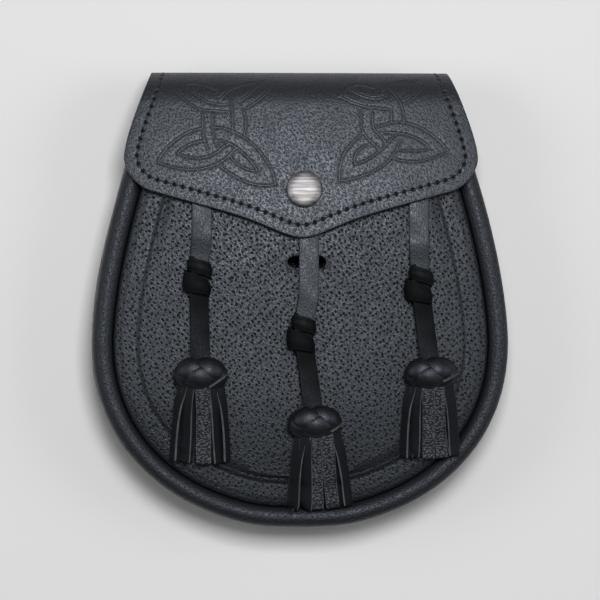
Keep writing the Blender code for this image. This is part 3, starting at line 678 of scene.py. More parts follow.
NICKEL = brushed_metal("brushed_nickel_dome", (0.350, 0.338, 0.338))


# Gusset and panels

def arc(centre, radius, start, end, steps):
    a = np.radians(np.linspace(start, end, steps + 1))
    return np.column_stack([centre[0] + radius * np.cos(a), centre[1] + radius * np.sin(a)])


def mirrored_rows(rows):
    """Rows of the right half followed by those of the left half."""
    other = rows[-2::-1] * np.array([-1, 1, 1])
    return np.concatenate([rows, other])


def make_gusset():
    places, normals, marks = stations(230)
    rows, grain = [], []
    for point, normal, mark in zip(places, normals, marks):
        y = point[1]
        top = front_seam(y) + ROLL_CREST - ROLL_RADIUS
        low = back_height(y) + BACK_ROLL_RADIUS
        front = arc((ROLL_WIDTH - ROLL_RADIUS, top), ROLL_RADIUS, 0, 180, 18)
        back = arc((BACK_ROLL_WIDTH - BACK_ROLL_RADIUS, low), BACK_ROLL_RADIUS, 180, 360, 12)
        buckle = BUCKLE_DEPTH * (1 + math.sin(mark * 150 + 1.4 * math.sin(mark * 47)))
        between = [
            (GUSSET_BULGE * (2 * t - 1) ** 2 + buckle * math.sin(math.pi * t) ** 2, top + (low - top) * t)
            for t in np.linspace(0.1, 0.9, 9)
        ]
        ends = [(ROLL_WIDTH, top - FLANGE)], [(BACK_ROLL_WIDTH, low + FLANGE)]
        section = np.vstack([ends[0], front, between, back, ends[1]])
        run = lengths_along(section)
        swell = 0.00006 * math.sin(mark * 190) + 0.00003 * math.sin(mark * 613 + 1)
        lift = np.exp(-(((run - 0.008) / 0.004) ** 2)) * swell
        flat = point - normal * section[:, :1]
        rows.append(np.column_stack([np.maximum(0, flat[:, 0]), flat[:, 1], section[:, 1] + lift]))
        grain.append(np.column_stack([run, np.full(len(run), mark), np.zeros(len(run))]))
    rows, grain = np.array(rows), np.array(grain)
    full = mirrored_rows(rows)
    other = grain[-2::-1] * np.array([1, -1, 1]) + np.array([0, 2 * marks[-1], 0])
    shell = Shell()
    shell.grid(full, np.concatenate([grain, other]))
    gusset = shell.build("gusset_leather", ROLL, outward=False)
    add_wall(gusset)
    finish_piece(gusset, "smooth_leather", "gusset")


def add_wall(obj):
    wall = obj.modifiers.new("Wall", "SOLIDIFY")
    wall.thickness = LEATHER
    wall.offset = -1
    wall.use_even_offset = True


def apply_modifiers(obj):
    """Keeps the evaluated mesh, with its attributes, as the object's own."""
    graph = bpy.context.evaluated_depsgraph_get()
    mesh = bpy.data.meshes.new_from_object(obj.evaluated_get(graph), depsgraph=graph)
    obj.modifiers.clear()
    obj.data = mesh


def panel_sheet(offset, section, inner, height_at, flip):
    """Rows from the edge to the middle line for both halves."""
    places, normals, _ = stations(220)
    low = WIDEST_Y - 0.1 * POUCH_LENGTH
    edges, inners = [], []
    for index, (point, normal) in enumerate(zip(places, normals)):
        depth, height = section(point[1])
        flat = point - normal * (offset + depth)[:, None]
        edges.append(np.column_stack([np.maximum(0, flat[:, 0]), flat[:, 1], height]))
        start = edges[-1][-1, :2]
        spine = np.array([0, MOUTH_Y + (low - MOUTH_Y) * index / (len(places) - 1)])
        inners.append(start + (spine - start) * inner[:, None])
    inners = np.array(inners)
    z = height_at(inners[..., 0], inners[..., 1]).reshape(inners.shape[:2])
    rows = np.concatenate([np.array(edges), np.dstack([inners, z])], axis=1)
    shell = Shell()
    for side in (1, -1):
        half = rows * np.array([side, 1, 1])
        order = half if (side == 1) != flip else half[::-1]
        shell.grid(order, order * np.array([1, 1, 0]))
    return shell


def front_section(y):
    radius = SHOULDER_RADIUS
    seam = front_seam(y)
    bend = arc((0, 0), radius, 0, 90, 9)
    line = np.concatenate([
        np.linspace(0.0035, CREASE_INSET - 0.0022, 6),
        np.linspace(CREASE_INSET - 0.0018, CREASE_INSET + 0.0016, 14),
    ])
    depth = np.concatenate([[0], radius - bend[:, 0], line])
    under = seam + ROLL_CREST - ROLL_RADIUS - FLANGE
    height = np.concatenate([[under], seam - radius + bend[:, 1], seam + panel_rise(line)])
    return depth, height


def make_front_panel():
    inner = np.concatenate([np.linspace(0.03, 0.9, 22), [0.95, 1.0]])
    shell = panel_sheet(ROLL_WIDTH + SEAT_GAP, front_section, inner, front_height, True)
    panel = shell.build("front_panel_leather", PANEL_SKIN, merge=MERGE_DISTANCE, outward=False)
    add_wall(panel)
    radius = SLOT_HEIGHT / 2
    reach = SLOT_WIDTH / 2 - radius
    ring = np.vstack([arc((reach, 0), radius, -90, 90, 14), arc((-reach, 0), radius, 90, 270, 14)])
    rows = [
        np.column_stack([ring * grow + (SLOT_X * HALF_WIDTH, SLOT_Y * HALF_LENGTH), np.full(len(ring), z)])
        for grow, z in ((1, BELLY_DEPTH - 0.008), (1, BELLY_DEPTH + 0.010))
    ]
    cutter_shell = Shell()
    cutter_shell.grid(rows, np.array(rows), around=True, caps=True)
    cutter = cutter_shell.build("slot_cutter", PANEL_SKIN)
    cut = panel.modifiers.new("Slot", "BOOLEAN")
    cut.object = cutter
    apply_modifiers(panel)
    panel.data.set_sharp_from_angle(angle=math.radians(40))
    bpy.data.objects.remove(cutter)
    finish_piece(panel, "grained_leather", "front_panel")


def back_section(y):
    radius = BACK_SHOULDER_RADIUS
    seam = back_height(y)
    bend = arc((0, 0), radius, 0, 90, 7)
    depth = np.concatenate([[0], radius - bend[:, 0]])
    height = np.concatenate([[seam + BACK_ROLL_RADIUS + FLANGE], seam + radius - bend[:, 1]])
    return depth, height


def make_back_panel():
    inner = np.linspace(0.04, 1, 22)
    offset = BACK_ROLL_WIDTH + SEAT_GAP
    shell = panel_sheet(offset, back_section, inner, lambda x, y: back_height(y).ravel(), False)
    panel = shell.build("back_panel_leather", PLAIN, merge=MERGE_DISTANCE, outward=False)
    add_wall(panel)
    finish_piece(panel, "smooth_leather", "back_panel")


# Flap

# Lines of the traditional interlaced knots, as (x, length along the flap) in units of 0.43 mm from the
# flap's middle and from the middle of the pouch.
STROKE_UNIT = 0.00043
LEFT_KNOT = [
    [(-143, 136.5), (-140.5, 142.5), (-135.5, 149.5), (-128.5, 156.5), (-120.5, 162.5), (-111.5, 167.5),
     (-100.5, 170.5)],
    [(-87.5, 172), (-78.5, 171), (-69.5, 168), (-60.5, 163.5), (-50.5, 156.5), (-41.5, 147),
     (-33.5, 135.5), (-28.5, 124.5), (-26.5, 114.5)],
    [(-143, 136.5), (-132.5, 133), (-121.5, 130.5), (-110.5, 129.5), (-99.5, 130.5), (-89.5, 133),
     (-80.5, 137.5), (-73.5, 142.5), (-66.5, 150.5)],
    [(-123.5, 146), (-118.5, 150.5), (-111.5, 154.5), (-104.5, 157), (-97.5, 158)],
    [(-123.5, 146), (-116.5, 142.5), (-106.5, 141), (-96.5, 141.5), (-88.5, 144.5), (-82.5, 148),
     (-77.5, 152.5), (-72.5, 155)],
    [(-85.5, 159), (-76.5, 157.5), (-66.5, 152.5), (-57.5, 145), (-49.5, 136.5), (-44, 128)],
    [(-44, 128), (-53.5, 129.5), (-61.5, 133.5), (-67.5, 138.5), (-71.5, 142.5)],
    [(-26.5, 114.5), (-36.5, 113.5), (-46.5, 114.5), (-56.5, 117.5), (-66.5, 122.5), (-75.5, 128.5),
     (-83.5, 134.5)],
    [(-98.5, 185.5), (-98.5, 175.5), (-98, 166.5), (-96.5, 158.5), (-93.5, 149.5)],
    [(-88.5, 185.5), (-88.5, 175.5), (-88, 166.5), (-86, 158.5), (-82.5, 151)],
]
RIGHT_KNOT = [
    [(37, 118), (37.5, 127.5), (39, 137.5), (42.5, 146.5), (48.5, 154.5), (55.5, 161.5), (61, 166.5)],
    [(75.5, 172.5), (84.5, 175.5), (94.5, 177.5), (105.5, 176.5), (116.5, 173), (127.5, 167),
     (137.5, 159), (143.5, 152.5), (147.5, 148)],
    [(37, 118), (48.5, 120), (63.5, 124.5), (76.5, 131), (87.5, 139.5), (91.5, 145.5), (95.5, 152.5),
     (98.5, 158.5)],
    [(52.5, 135), (52.5, 142.5), (55.5, 147.5), (59.5, 151.5), (65.5, 154.5)],
    [(52.5, 135), (59.5, 137), (66.5, 140.5), (72.5, 144.5), (77.5, 148.5), (83.5, 153.5),
     (88.5, 159.5), (94.5, 165)],
    [(82.5, 166.5), (90.5, 167), (98.5, 166), (106.5, 164.5), (114.5, 161.5), (122.5, 157), (128, 151.5)],
    [(128, 151.5), (122.5, 149.5), (113.5, 148.5), (103.5, 149), (95.5, 149.5)],
    [(147.5, 148), (138.5, 144.5), (128.5, 141), (118.5, 138.5), (108.5, 138), (98.5, 139), (91.5, 141.5)],
    [(59.5, 187.5), (59.5, 176.5), (61.5, 167.5), (66.5, 160.5), (72.5, 155), (77.5, 149.5)],
    [(71, 187.5), (71, 177.5), (72.5, 170.5), (77.5, 165), (82.5, 158.5), (84, 154)],
]
# The upper knots run up over the fold, so their points are (x, y) as seen from the front, in the same unit.
LEFT_UPPER = [
    [(-131, 216.5), (-126, 209.5), (-119.5, 203), (-111.5, 196), (-104, 191), (-97.5, 189.2),
     (-87.5, 188.3), (-73.5, 187.2)],
    [(-54.5, 191), (-47.5, 195.7), (-39.5, 202.2), (-31.5, 209.5), (-24.5, 217.5)],
    [(-115.5, 214.5), (-109.5, 209), (-102.5, 203), (-95.5, 198.5), (-87.5, 195.7), (-78.5, 194.7),
     (-72.5, 195.5)],
    [(-115.5, 214.5), (-107.5, 215.9), (-98.5, 214.5), (-91.5, 212), (-85.5, 209.5)],
    [(-79.5, 201.5), (-72.5, 208), (-63.5, 212.5), (-52.5, 215.7), (-39.5, 217.5)],
    [(-39.5, 217.5), (-45.5, 211), (-52.5, 204.5), (-59.5, 199)],
    [(-70.5, 201.5), (-69.5, 193.5), (-69, 184.5), (-69, 174.5), (-68, 164.5)],
    [(-58, 189.5), (-56, 182.5), (-55.5, 174.5), (-57, 164.5)],
]
RIGHT_UPPER = [
    [(38.5, 203), (44.5, 200), (51.5, 196.7), (60.5, 193.7), (70.5, 192), (86.5, 190.8)],
    [(102.5, 195.5), (109.5, 200), (116.5, 206), (123, 212.5), (128.5, 219.5)],
    [(90, 190.5), (90, 184.5), (90, 178)],
    [(86.5, 212.5), (92.5, 207), (97.5, 200.5), (100.5, 193.5), (102, 186.5), (102.5, 178.5)],
    [(46.5, 211.5), (54.5, 207), (62.5, 203), (70.5, 201), (78.5, 201.3), (84.5, 203.5)],
    [(46.5, 211.5), (55.5, 214.5), (64.5, 214), (72.5, 211)],
    [(82.5, 209.5), (90.5, 215), (99.5, 218.5), (115.5, 219.5)],
    [(115.5, 219.5), (109.5, 213), (103.5, 207.5), (98.5, 204)],
]

RIDGE_HALF = 0.00030
GROOVE_AT = 0.00058
GROOVE_HALF = 0.00020
GROOVE_DEPTH = 0.00022
RIDGE_RISE = 0.00013
STITCH_INSET = 0.0054
STITCH_PITCH = 0.0037
HOLE_RADIUS = 0.00085
HOLE_DEPTH = 0.0011
EDGE_ROUNDING = 0.0005
DETAIL_OFFSETS = (0, -0.00030, 0.00030, -0.00058, 0.00058, -0.00086, 0.00086, -0.0012, 0.0012)
HOLE_RINGS = ((0.28, 6), (0.62, 10), (1.0, 12), (1.4, 12))  # share of the hole's radius, points
DETAIL_APART = 0.00021
GRID_SPACING, LOW_GRID_SPACING = 0.0015, 0.003
THREAD_POINTS = 8
TURNED_POINTS = 72


def curve_through(points, spacing):
    """Evenly spaced points on a smooth curve through these."""
    points = np.asarray(points, float)
    ends = np.vstack([2 * points[0] - points[1], points, 2 * points[-1] - points[-2]])
    dense = []
    for p0, p1, p2, p3 in zip(ends, ends[1:], ends[2:], ends[3:]):
        for t in np.linspace(0, 1, 14, endpoint=False):
            square, cube = 2 * p0 - 5 * p1 + 4 * p2 - p3, 3 * p1 - p0 - 3 * p2 + p3
            dense.append(0.5 * (2 * p1 + (p2 - p0) * t + square * t**2 + cube * t**3))
    dense.append(points[-1])
    dense = np.array(dense)
    lengths = lengths_along(dense)
    marks = np.linspace(0, lengths[-1], max(3, int(lengths[-1] / spacing) + 1))
    return at_lengths(marks, lengths, dense)


def unrolled(places):
    """Places seen from the front turned into (x, s), because the leather runs on up over the fold."""
    crest = int(np.argmax(FOLD_AT[:, 0]))
    over = np.interp(places[:, 1], FOLD_AT[:crest + 1, 0], FOLD_LENGTHS[:crest + 1])
    return np.column_stack([places[:, 0], np.where(places[:, 1] > FOLD_Y, FOLD_Y + over, places[:, 1])])


def knot_strokes():
    lower, upper = ([np.array(line, float) * STROKE_UNIT for line in knots]
                    for knots in (LEFT_KNOT + RIGHT_KNOT, LEFT_UPPER + RIGHT_UPPER))
    return lower + [unrolled(curve_through(line, 0.0008)) for line in upper]


def flap_border(spacing=0.0007):
    """The flap's outline in (x, s), anticlockwise from the middle of its lower edge."""
    half = FLAP_WIDTH / 2
    flat = half - FLAP_CORNER
    corner = flat + FLAP_CORNER * np.sin(np.linspace(0, math.pi / 2, 90))[1:]
    columns = np.concatenate([np.linspace(0, flat, 400), corner])
    edge = flap_edge(columns)
    lower = np.column_stack([columns * flap_side(edge), edge])
    s = np.linspace(edge[-1], FLAP_TOTAL, 500)[1:]
    side = np.column_stack([flap_half(s), s])
    back = np.column_stack([np.linspace(side[-1, 0], 0, 200)[1:], np.full(199, FLAP_TOTAL)])
    right = np.vstack([lower, side, back])
    lengths = lengths_along(right)
    marks = np.linspace(0, lengths[-1], int(lengths[-1] / spacing))
    right = at_lengths(marks, lengths, right)
    return np.vstack([right, right[-2:0:-1] * np.array([-1, 1])])


def inward(ring):
    """Unit vectors into the flap at each point of its border."""
    along = unit(np.roll(ring, -2, 0) - np.roll(ring, 2, 0))
    return np.column_stack([-along[:, 1], along[:, 0]])


def stitch_places():
    """Middles of the stitch holes in (x, s), mirrored, along the front edge and up over the fold."""
    ring = flap_border(0.0003)
    half = len(ring) // 2 + 1
    line = (ring + inward(ring) * STITCH_INSET)[:half]
    keep = line[:, 1] < FLAP_TOTAL - STITCH_INSET
    line = line[keep]
    line[0, 0] = 0
    lengths = lengths_along(line)
    marks = np.arange(STITCH_PITCH / 2, lengths[-1], STITCH_PITCH)
    right = at_lengths(marks, lengths, line)
    return np.vstack([right[::-1] * np.array([-1, 1]), right])


def nearest(points, others):
    """Distance from each point to the nearest of the others."""
    found = np.empty(len(points))
    for start in range(0, len(points), 3000):
        part = points[start:start + 3000]
        apart = np.hypot(part[:, None, 0] - others[:, 0], part[:, None, 1] - others[:, 1])
        found[start:start + 3000] = apart.min(axis=1)
    return found


def flap_relief(points, lines, holes):
    """Rise of the embossed lines and stitch holes, how burnished each point is and how dark with painted
    shade.
    """
    near = nearest(points, lines)
    ridge = np.exp(-((near / RIDGE_HALF) ** 2))
    groove = np.exp(-(((near - GROOVE_AT) / GROOVE_HALF) ** 2))
    hole = nearest(points, holes)
    rise = RIDGE_RISE * ridge - GROOVE_DEPTH * groove
    rise -= HOLE_DEPTH * (1 - smooth((hole - 0.35 * HOLE_RADIUS) / (0.8 * HOLE_RADIUS)))
    # painted shade in the grooves and down the stitch holes
    dark = np.maximum(groove * 0.6, 1 - smooth((hole - 0.6 * HOLE_RADIUS) / (0.5 * HOLE_RADIUS)))
    return rise, ridge, dark


def thinned(points, apart):
    """Drops points that lie too close to an earlier one."""
    cells, kept = {}, []
    for index, (x, y) in enumerate(points):
        i, k = int(math.floor(x / apart)), int(math.floor(y / apart))
        close = False
        for di in (-1, 0, 1):
            for dk in (-1, 0, 1):
                for ox, oy in cells.get((i + di, k + dk), ()):
                    if (ox - x) ** 2 + (oy - y) ** 2 < apart * apart:
                        close = True
        if not close:
            cells.setdefault((i, k), []).append((x, y))
            kept.append(index)
    return kept


def triangulated(points, ring_count):
    """Triangles between the points, inside the ring that the first points form."""
    ring = list(range(ring_count))
    edges = [(k, (k + 1) % ring_count) for k in ring]
    out = delaunay_2d_cdt([Vector(p) for p in (points * 1000).tolist()], edges, [ring], 1, 1e-6)
    return np.array([v[:] for v in out[0]]) / 1000, out[2], out[3]


def inner_grid(spacing, margin):
    """Points in rows inside the flap, at least a margin from its border."""
    found = []
    rows = np.arange(0, FLAP_TOTAL, spacing * 0.866)
    for index, s in enumerate(rows):
        xs = np.arange(-FLAP_WIDTH / 2, FLAP_WIDTH / 2, spacing) + (index % 2) * spacing / 2
        found.append(np.column_stack([xs, np.full(len(xs), s)]))
    points = np.vstack(found)
    half = flap_half(points[:, 1])
    column = points[:, 0] / half * FLAP_WIDTH / 2
    inside = (np.abs(points[:, 0]) < half - margin) & (points[:, 1] < FLAP_TOTAL - margin)
    inside &= points[:, 1] - flap_edge(np.clip(column, -FLAP_WIDTH / 2, FLAP_WIDTH / 2)) > margin * 1.1
    return points[inside]


def flap_sheet(ring, insets, others):
    """One face of the flap, rounded at its border: its points, how far inside the border and how much lower
    each lies, the triangles and where the border's points ended up."""
    into = inward(ring)
    rings = [ring] + [ring + into * EDGE_ROUNDING * t for t in insets]
    inside = np.repeat([0.0] + [EDGE_ROUNDING * t for t in insets], len(ring))
    inside = np.concatenate([inside, np.full(len(others), 1.0)])
    flat, triangles, origin = triangulated(np.vstack(rings + [others]), len(ring))
    source = np.array([o[0] if len(o) else -1 for o in origin])
    inside = np.where(source >= 0, inside[np.maximum(0, source)], 1.0)
    bend = np.minimum(inside, EDGE_ROUNDING)
    drop = EDGE_ROUNDING - np.sqrt(np.maximum(0, EDGE_ROUNDING**2 - (EDGE_ROUNDING - bend) ** 2))
    border = {int(o[0]): k for k, o in enumerate(origin) if len(o) and o[0] < len(ring)}
    return flat, inside, drop, triangles, border


def flap_detail(holes):
    """Close points along the embossed lines and round the stitch holes."""
    detail = []
    for line in (curve_through(stroke, 0.00038) for stroke in knot_strokes()):
        along = unit(np.gradient(line, axis=0))
        across = np.column_stack([-along[:, 1], along[:, 0]])
        detail += [line + across * off for off in DETAIL_OFFSETS]
    for hole in holes:
        detail.append(hole[None])
        for radius, count in HOLE_RINGS:
            a = np.linspace(0, 2 * math.pi, count, endpoint=False) + radius
            detail.append(hole + HOLE_RADIUS * radius * np.column_stack([np.cos(a), np.sin(a)]))
    detail = np.vstack(detail)
    detail = detail[np.abs(detail[:, 0]) < flap_half(detail[:, 1]) - 0.0014]
    return detail[thinned(detail, DETAIL_APART)]


def make_flap():
    ring = flap_border()
    lines = np.vstack([curve_through(line, 0.00012) for line in knot_strokes()])
    holes = stitch_places()
    grid = inner_grid(GRID_SPACING, 0.0014)
    grid = grid[nearest(grid, lines[::3]) > 0.0016]
    grid = grid[nearest(grid, holes) > 0.0015]
    others = np.vstack([flap_detail(holes), grid])
    flat, inside, drop, triangles, border = flap_sheet(ring, (0.12, 0.3, 0.6, 1.0), others)
    relief, burnish, dark = flap_relief(flat, lines, holes)
    upper, _ = flap_place(flat[:, 0], flat[:, 1], -drop + np.where(inside > 0.9, relief, 0))
    low_grid = inner_grid(LOW_GRID_SPACING, LOW_GRID_SPACING)
    low_flat, _, drop, low_triangles, low_border = flap_sheet(ring, (0.3, 1.0), low_grid)
    lower, _ = flap_place(low_flat[:, 0], low_flat[:, 1], drop - FLAP_LEATHER)

    count = len(upper)
    faces = [tuple(f) for f in triangles] + [tuple(count + v for v in reversed(f)) for f in low_triangles]
    for k in range(len(ring)):
        after = (k + 1) % len(ring)
        faces.append((border[k], count + low_border[k], count + low_border[after], border[after]))
    flats = np.vstack([flat, low_flat])
    tone = np.zeros((len(flats), 3))
    tone[:count, 1], tone[:count, 2] = burnish, dark
    shell = Shell()
    shell.add(np.vstack([upper, lower]), faces, np.column_stack([flats, np.zeros(len(flats))]), tone)
    finish_piece(shell.build("flap_leather", FLAP_SKIN), "grained_leather", "flap")
    make_stitches(holes)


def make_stitches(holes):
    """A thread between each two holes of the flap, dipping into both."""
    shell = Shell()
    for first, second in zip(holes, holes[1:]):
        if np.linalg.norm(second - first) > 1.5 * STITCH_PITCH:
            continue
        share = np.linspace(0, 1, 9)
        line = first + (second - first) * share[:, None]
        rise = -0.0008 + 0.00075 * np.sin(math.pi * share) ** 0.5
        path, normals = flap_place(line[:, 0], line[:, 1], rise)
        round_thread(shell, path, normals, FLAP_THREAD)
    finish_piece(shell.build("flap_stitches", THREAD), "smooth_leather")


def round_thread(shell, path, normals, radius):
    across = np.cross(unit(np.gradient(path, axis=0)), normals)
    a = np.linspace(0, 2 * math.pi, THREAD_POINTS, endpoint=False)
    cos, sin = np.cos(a)[None, :, None], np.sin(a)[None, :, None]
    rows = path[:, None] + radius * (across[:, None] * cos + normals[:, None] * sin)
    run = np.linspace(0, np.linalg.norm(path[-1] - path[0]), len(path))
    grain = np.zeros(rows.shape)
    grain[..., 0], grain[..., 1] = run[:, None], a * radius
    shell.grid(rows, grain, around=True, caps=True)


# Snap

def snap_frame(height_at):
    y = SNAP_Y * HALF_LENGTH
    step = 0.002
    rise_x = float((flap_height(SNAP_X + step, y) - flap_height(SNAP_X - step, y)) / (2 * step))
    rise_y = float((flap_height(SNAP_X, y + step) - flap_height(SNAP_X, y - step)) / (2 * step))
    turn = Vector((0, 0, 1)).rotation_difference(Vector((-rise_x, -rise_y, 1)))
    return Matrix.Translation((SNAP_X, y, height_at)) @ turn.to_matrix().to_4x4()


def lathe(name, profile, frame_matrix, tones):
    """A nickel piece turned about its own axis from (radius, height) points."""
    a = np.linspace(0, 2 * math.pi, TURNED_POINTS, endpoint=False)
    shell = Shell()
    rows, grain, tone = [], [], []
    for (radius, height), shade in zip(profile, tones):
        radius = max(radius, 0.00002)
        ring = np.column_stack([radius * np.cos(a), radius * np.sin(a), np.full(TURNED_POINTS, height)])
        rows.append([tuple(frame_matrix @ Vector(p)) for p in ring])
        grain.append(ring)
        tone.append(np.broadcast_to((0.0, 0.0, shade), (TURNED_POINTS, 3)))
    shell.grid(rows, grain, np.array(tone), around=True, caps=True)
    return shell.build(name, NICKEL)


def make_snap():
    y = SNAP_Y * HALF_LENGTH
    radius, ring, shank = SNAP_CAP_RADIUS, SNAP_FLANGE_RADIUS, 0.002
    low = 0.0009

    def flange(leather):
        return [(shank, 0.0003), (shank, -leather - 0.0003), (ring, -leather - 0.0003),
                (ring, -leather - 0.001), (0, -leather - 0.001)]

    shares = np.linspace(0, 1, 24) ** 0.6
    dome = [(radius * q, low + (SNAP_CAP_HEIGHT - low) * (1 - q**4) ** 0.5) for q in shares]
    rim = [(radius, low - 0.0001), (radius - 0.0001, 0.0005)]
    under = [(radius - 0.0009, 0.0003)] + flange(FLAP_LEATHER)
    # painted shade: the cap's rim and underside are darkened, a dark ring round the dome
    tones = [0.0] * len(dome) + [0.5] * len(rim) + [0.6] * len(under)
    cap = lathe("snap_cap_dome", dome + rim + under, snap_frame(float(flap_height(SNAP_X, y))), tones)
    finish_piece(cap, "brushed_nickel", "snap_cap")
    seat = float(front_height(np.array([SNAP_X]), np.array([y]))[0])
    profile = [(0, 0.00085), (0.0012, 0.00085), (0.0017, 0.0006), (ring - 0.0012, 0.0006)]
    profile += [(ring - 0.0007, 0.00095), (ring - 0.0002, 0.00095), (ring, 0.0007), (ring, 0.0003)]
    profile += flange(LEATHER)
    # painted shade: the stud ring is a little darkened under the flap
    stud = lathe("snap_stud_ring", profile, snap_frame(seat), [0.1] * len(profile))
    finish_piece(stud, "brushed_nickel", "snap_stud")


# Tassels

def tassel_points(tassel):
    scale = np.array((HALF_WIDTH, HALF_LENGTH))
    return [np.array(tassel[key]) * scale for key in ("top", "knot", "knob", "end")]


def seated(place, half_width, thickness):
    return float(seat_height(place[:1], place[1:], half_width)[0]) + thickness / 2


def knot_height(tassel):
    return seated(tassel_points(tassel)[1], KNOT_WIDTH / 2, KNOT_THICKNESS)


def knob_height(tassel):
    return seated(tassel_points(tassel)[2], KNOB_WIDTH / 4, KNOB_THICKNESS)


STRAP_LEAN = 16  # degrees
WRAP_TURNS = (-0.08, 1.86)


def make_strap(tassel):
    """The strap above its knot."""
    top, knot, _, _ = tassel_points(tassel)
    half, thick = STRAP_WIDTH / 2, STRAP_LEATHER
    start_y, end_y = top[1], knot[1] + 0.001
    ys = np.linspace(start_y, end_y, 60)
    xs = np.full(len(ys), top[0]) + (knot[0] - top[0]) * smooth((start_y - ys) / (start_y - end_y) * 3 - 2)
    seat = seat_height(xs, ys, half) + thick / 2
    rise = smooth((knot[1] + 0.020 - ys) / 0.016)
    zs = seat + (knot_height(tassel) + 0.0002 - seat) * rise
    path = np.column_stack([xs, ys, zs])
    widths = half - 0.0009 * smooth((knot[1] + 0.012 - ys) / 0.008)
    up = np.tile((0.0, 0.0, 1.0), (len(path), 1))
    # painted shade: the strap darkens over its last few millimetres into the knot
    dark = 0.7 * smooth((knot[1] + 0.0095 - ys) / 0.004)
    shell = Shell()
    sweep_band(shell, path, up, widths, thick, shift=0.01, crown=0.0001, dark=dark)
    strap = shell.build("tassel_strap_leather_" + tassel["name"], PLAIN)
    finish_piece(strap, "smooth_leather", "tassel_strap_" + tassel["name"])


def make_knot(tassel):
    """The strap from its knot down to the knob, and the turns of the knot round it."""
    _, knot, knob, _ = tassel_points(tassel)
    half, thick = STRAP_WIDTH / 2, STRAP_LEATHER
    knot_z, knob_z = knot_height(tassel), knob_height(tassel)
    shell = Shell()
    below = np.array([knot[0] + (knob[0] - knot[0]) * 0.3, knot[1] - KNOT_LENGTH / 2])
    share = np.linspace(0, 1, 46)
    first = knot + np.array([0, 0.001])
    turn = share[:, None]
    flat = (1 - turn) ** 2 * first + 2 * turn * (1 - turn) * (below + (knob - below) * 0.12) + turn**2 * knob
    sag = seat_height(flat[:, 0], flat[:, 1], half) + thick / 2
    chord = knot_z - 0.0006 + (knob_z - knot_z + 0.0006) * share
    mix = 0.55 * np.sin(math.pi * smooth(share)) ** 2
    zs = chord * (1 - mix) + np.minimum(sag + 0.0006, chord) * mix
    path = np.column_stack([flat, zs])
    lean = np.radians(STRAP_LEAN) * np.sin(math.pi * np.clip(share * 1.15, 0, 1))
    normals = np.column_stack([np.sin(lean), np.zeros(len(lean)), np.cos(lean)])
    # painted shade: the strap below the knot starts dark and lightens towards the knob
    dark = 0.55 - 0.55 * smooth((share - 0.25) / 0.5)
    sweep_band(shell, path, normals, half - 0.0002, thick, shift=0.03, crown=0.0002, kind=0.2, dark=dark)

    turns = np.linspace(*WRAP_TURNS, 120)
    t = turns - 0.25
    drop = 0.0046 - 0.0076 * (t - 0.085 * np.sin(2 * math.pi * t))
    grow = np.clip(turns / 1.3, 0, 1)
    a = 0.0042 + 0.0007 * grow
    b = 0.0027 + 0.0006 * grow
    tuck = 1 - 0.45 * smooth((turns - 1.5) / 0.35) - 0.45 * smooth((0.05 - turns) / 0.13)
    angle = math.pi - 2 * math.pi * turns
    middle = knot[0] + (0.0006 - 0.0017 * grow)
    side = a * tuck * np.cos(angle)
    path = np.column_stack([middle + side, knot[1] + drop - 0.15 * side, knot_z + b * tuck * np.sin(angle)])
    normals = np.column_stack([np.cos(angle) / a, np.zeros(len(angle)), np.sin(angle) / b])
    widths = 0.0028 + 0.0010 * grow - 0.0007 * grow * np.cos(angle)
    # painted shade on the knot's turns, deeper on the later turns
    dark = 0.10 + 0.55 * grow
    sweep_band(shell, path, normals, widths, WRAP_THICKNESS, 0.0007, 0.0007, 0.05, 0.1, dark)
    knotted = shell.build("tassel_knot_leather_" + tassel["name"], DARK)
    finish_piece(knotted, "smooth_leather")


def hang_frame(tassel):
    """Middle of the knob, the direction across the tassel and the direction towards its end."""
    _, _, knob, end = tassel_points(tassel)
    down = (end - knob) / np.linalg.norm(end - knob)
    across = np.array([-down[1], down[0], 0])
    middle = np.array([knob[0], knob[1], knob_height(tassel)])
    return middle, across, np.array([down[0], down[1], 0])


BRAID_BIGHTS = 4
BRAID_WAVE = 0.60  # of the band's middle up and down the knob, in radians
BRAID_HALF = 0.0054
BRAID_THICK = 0.0011


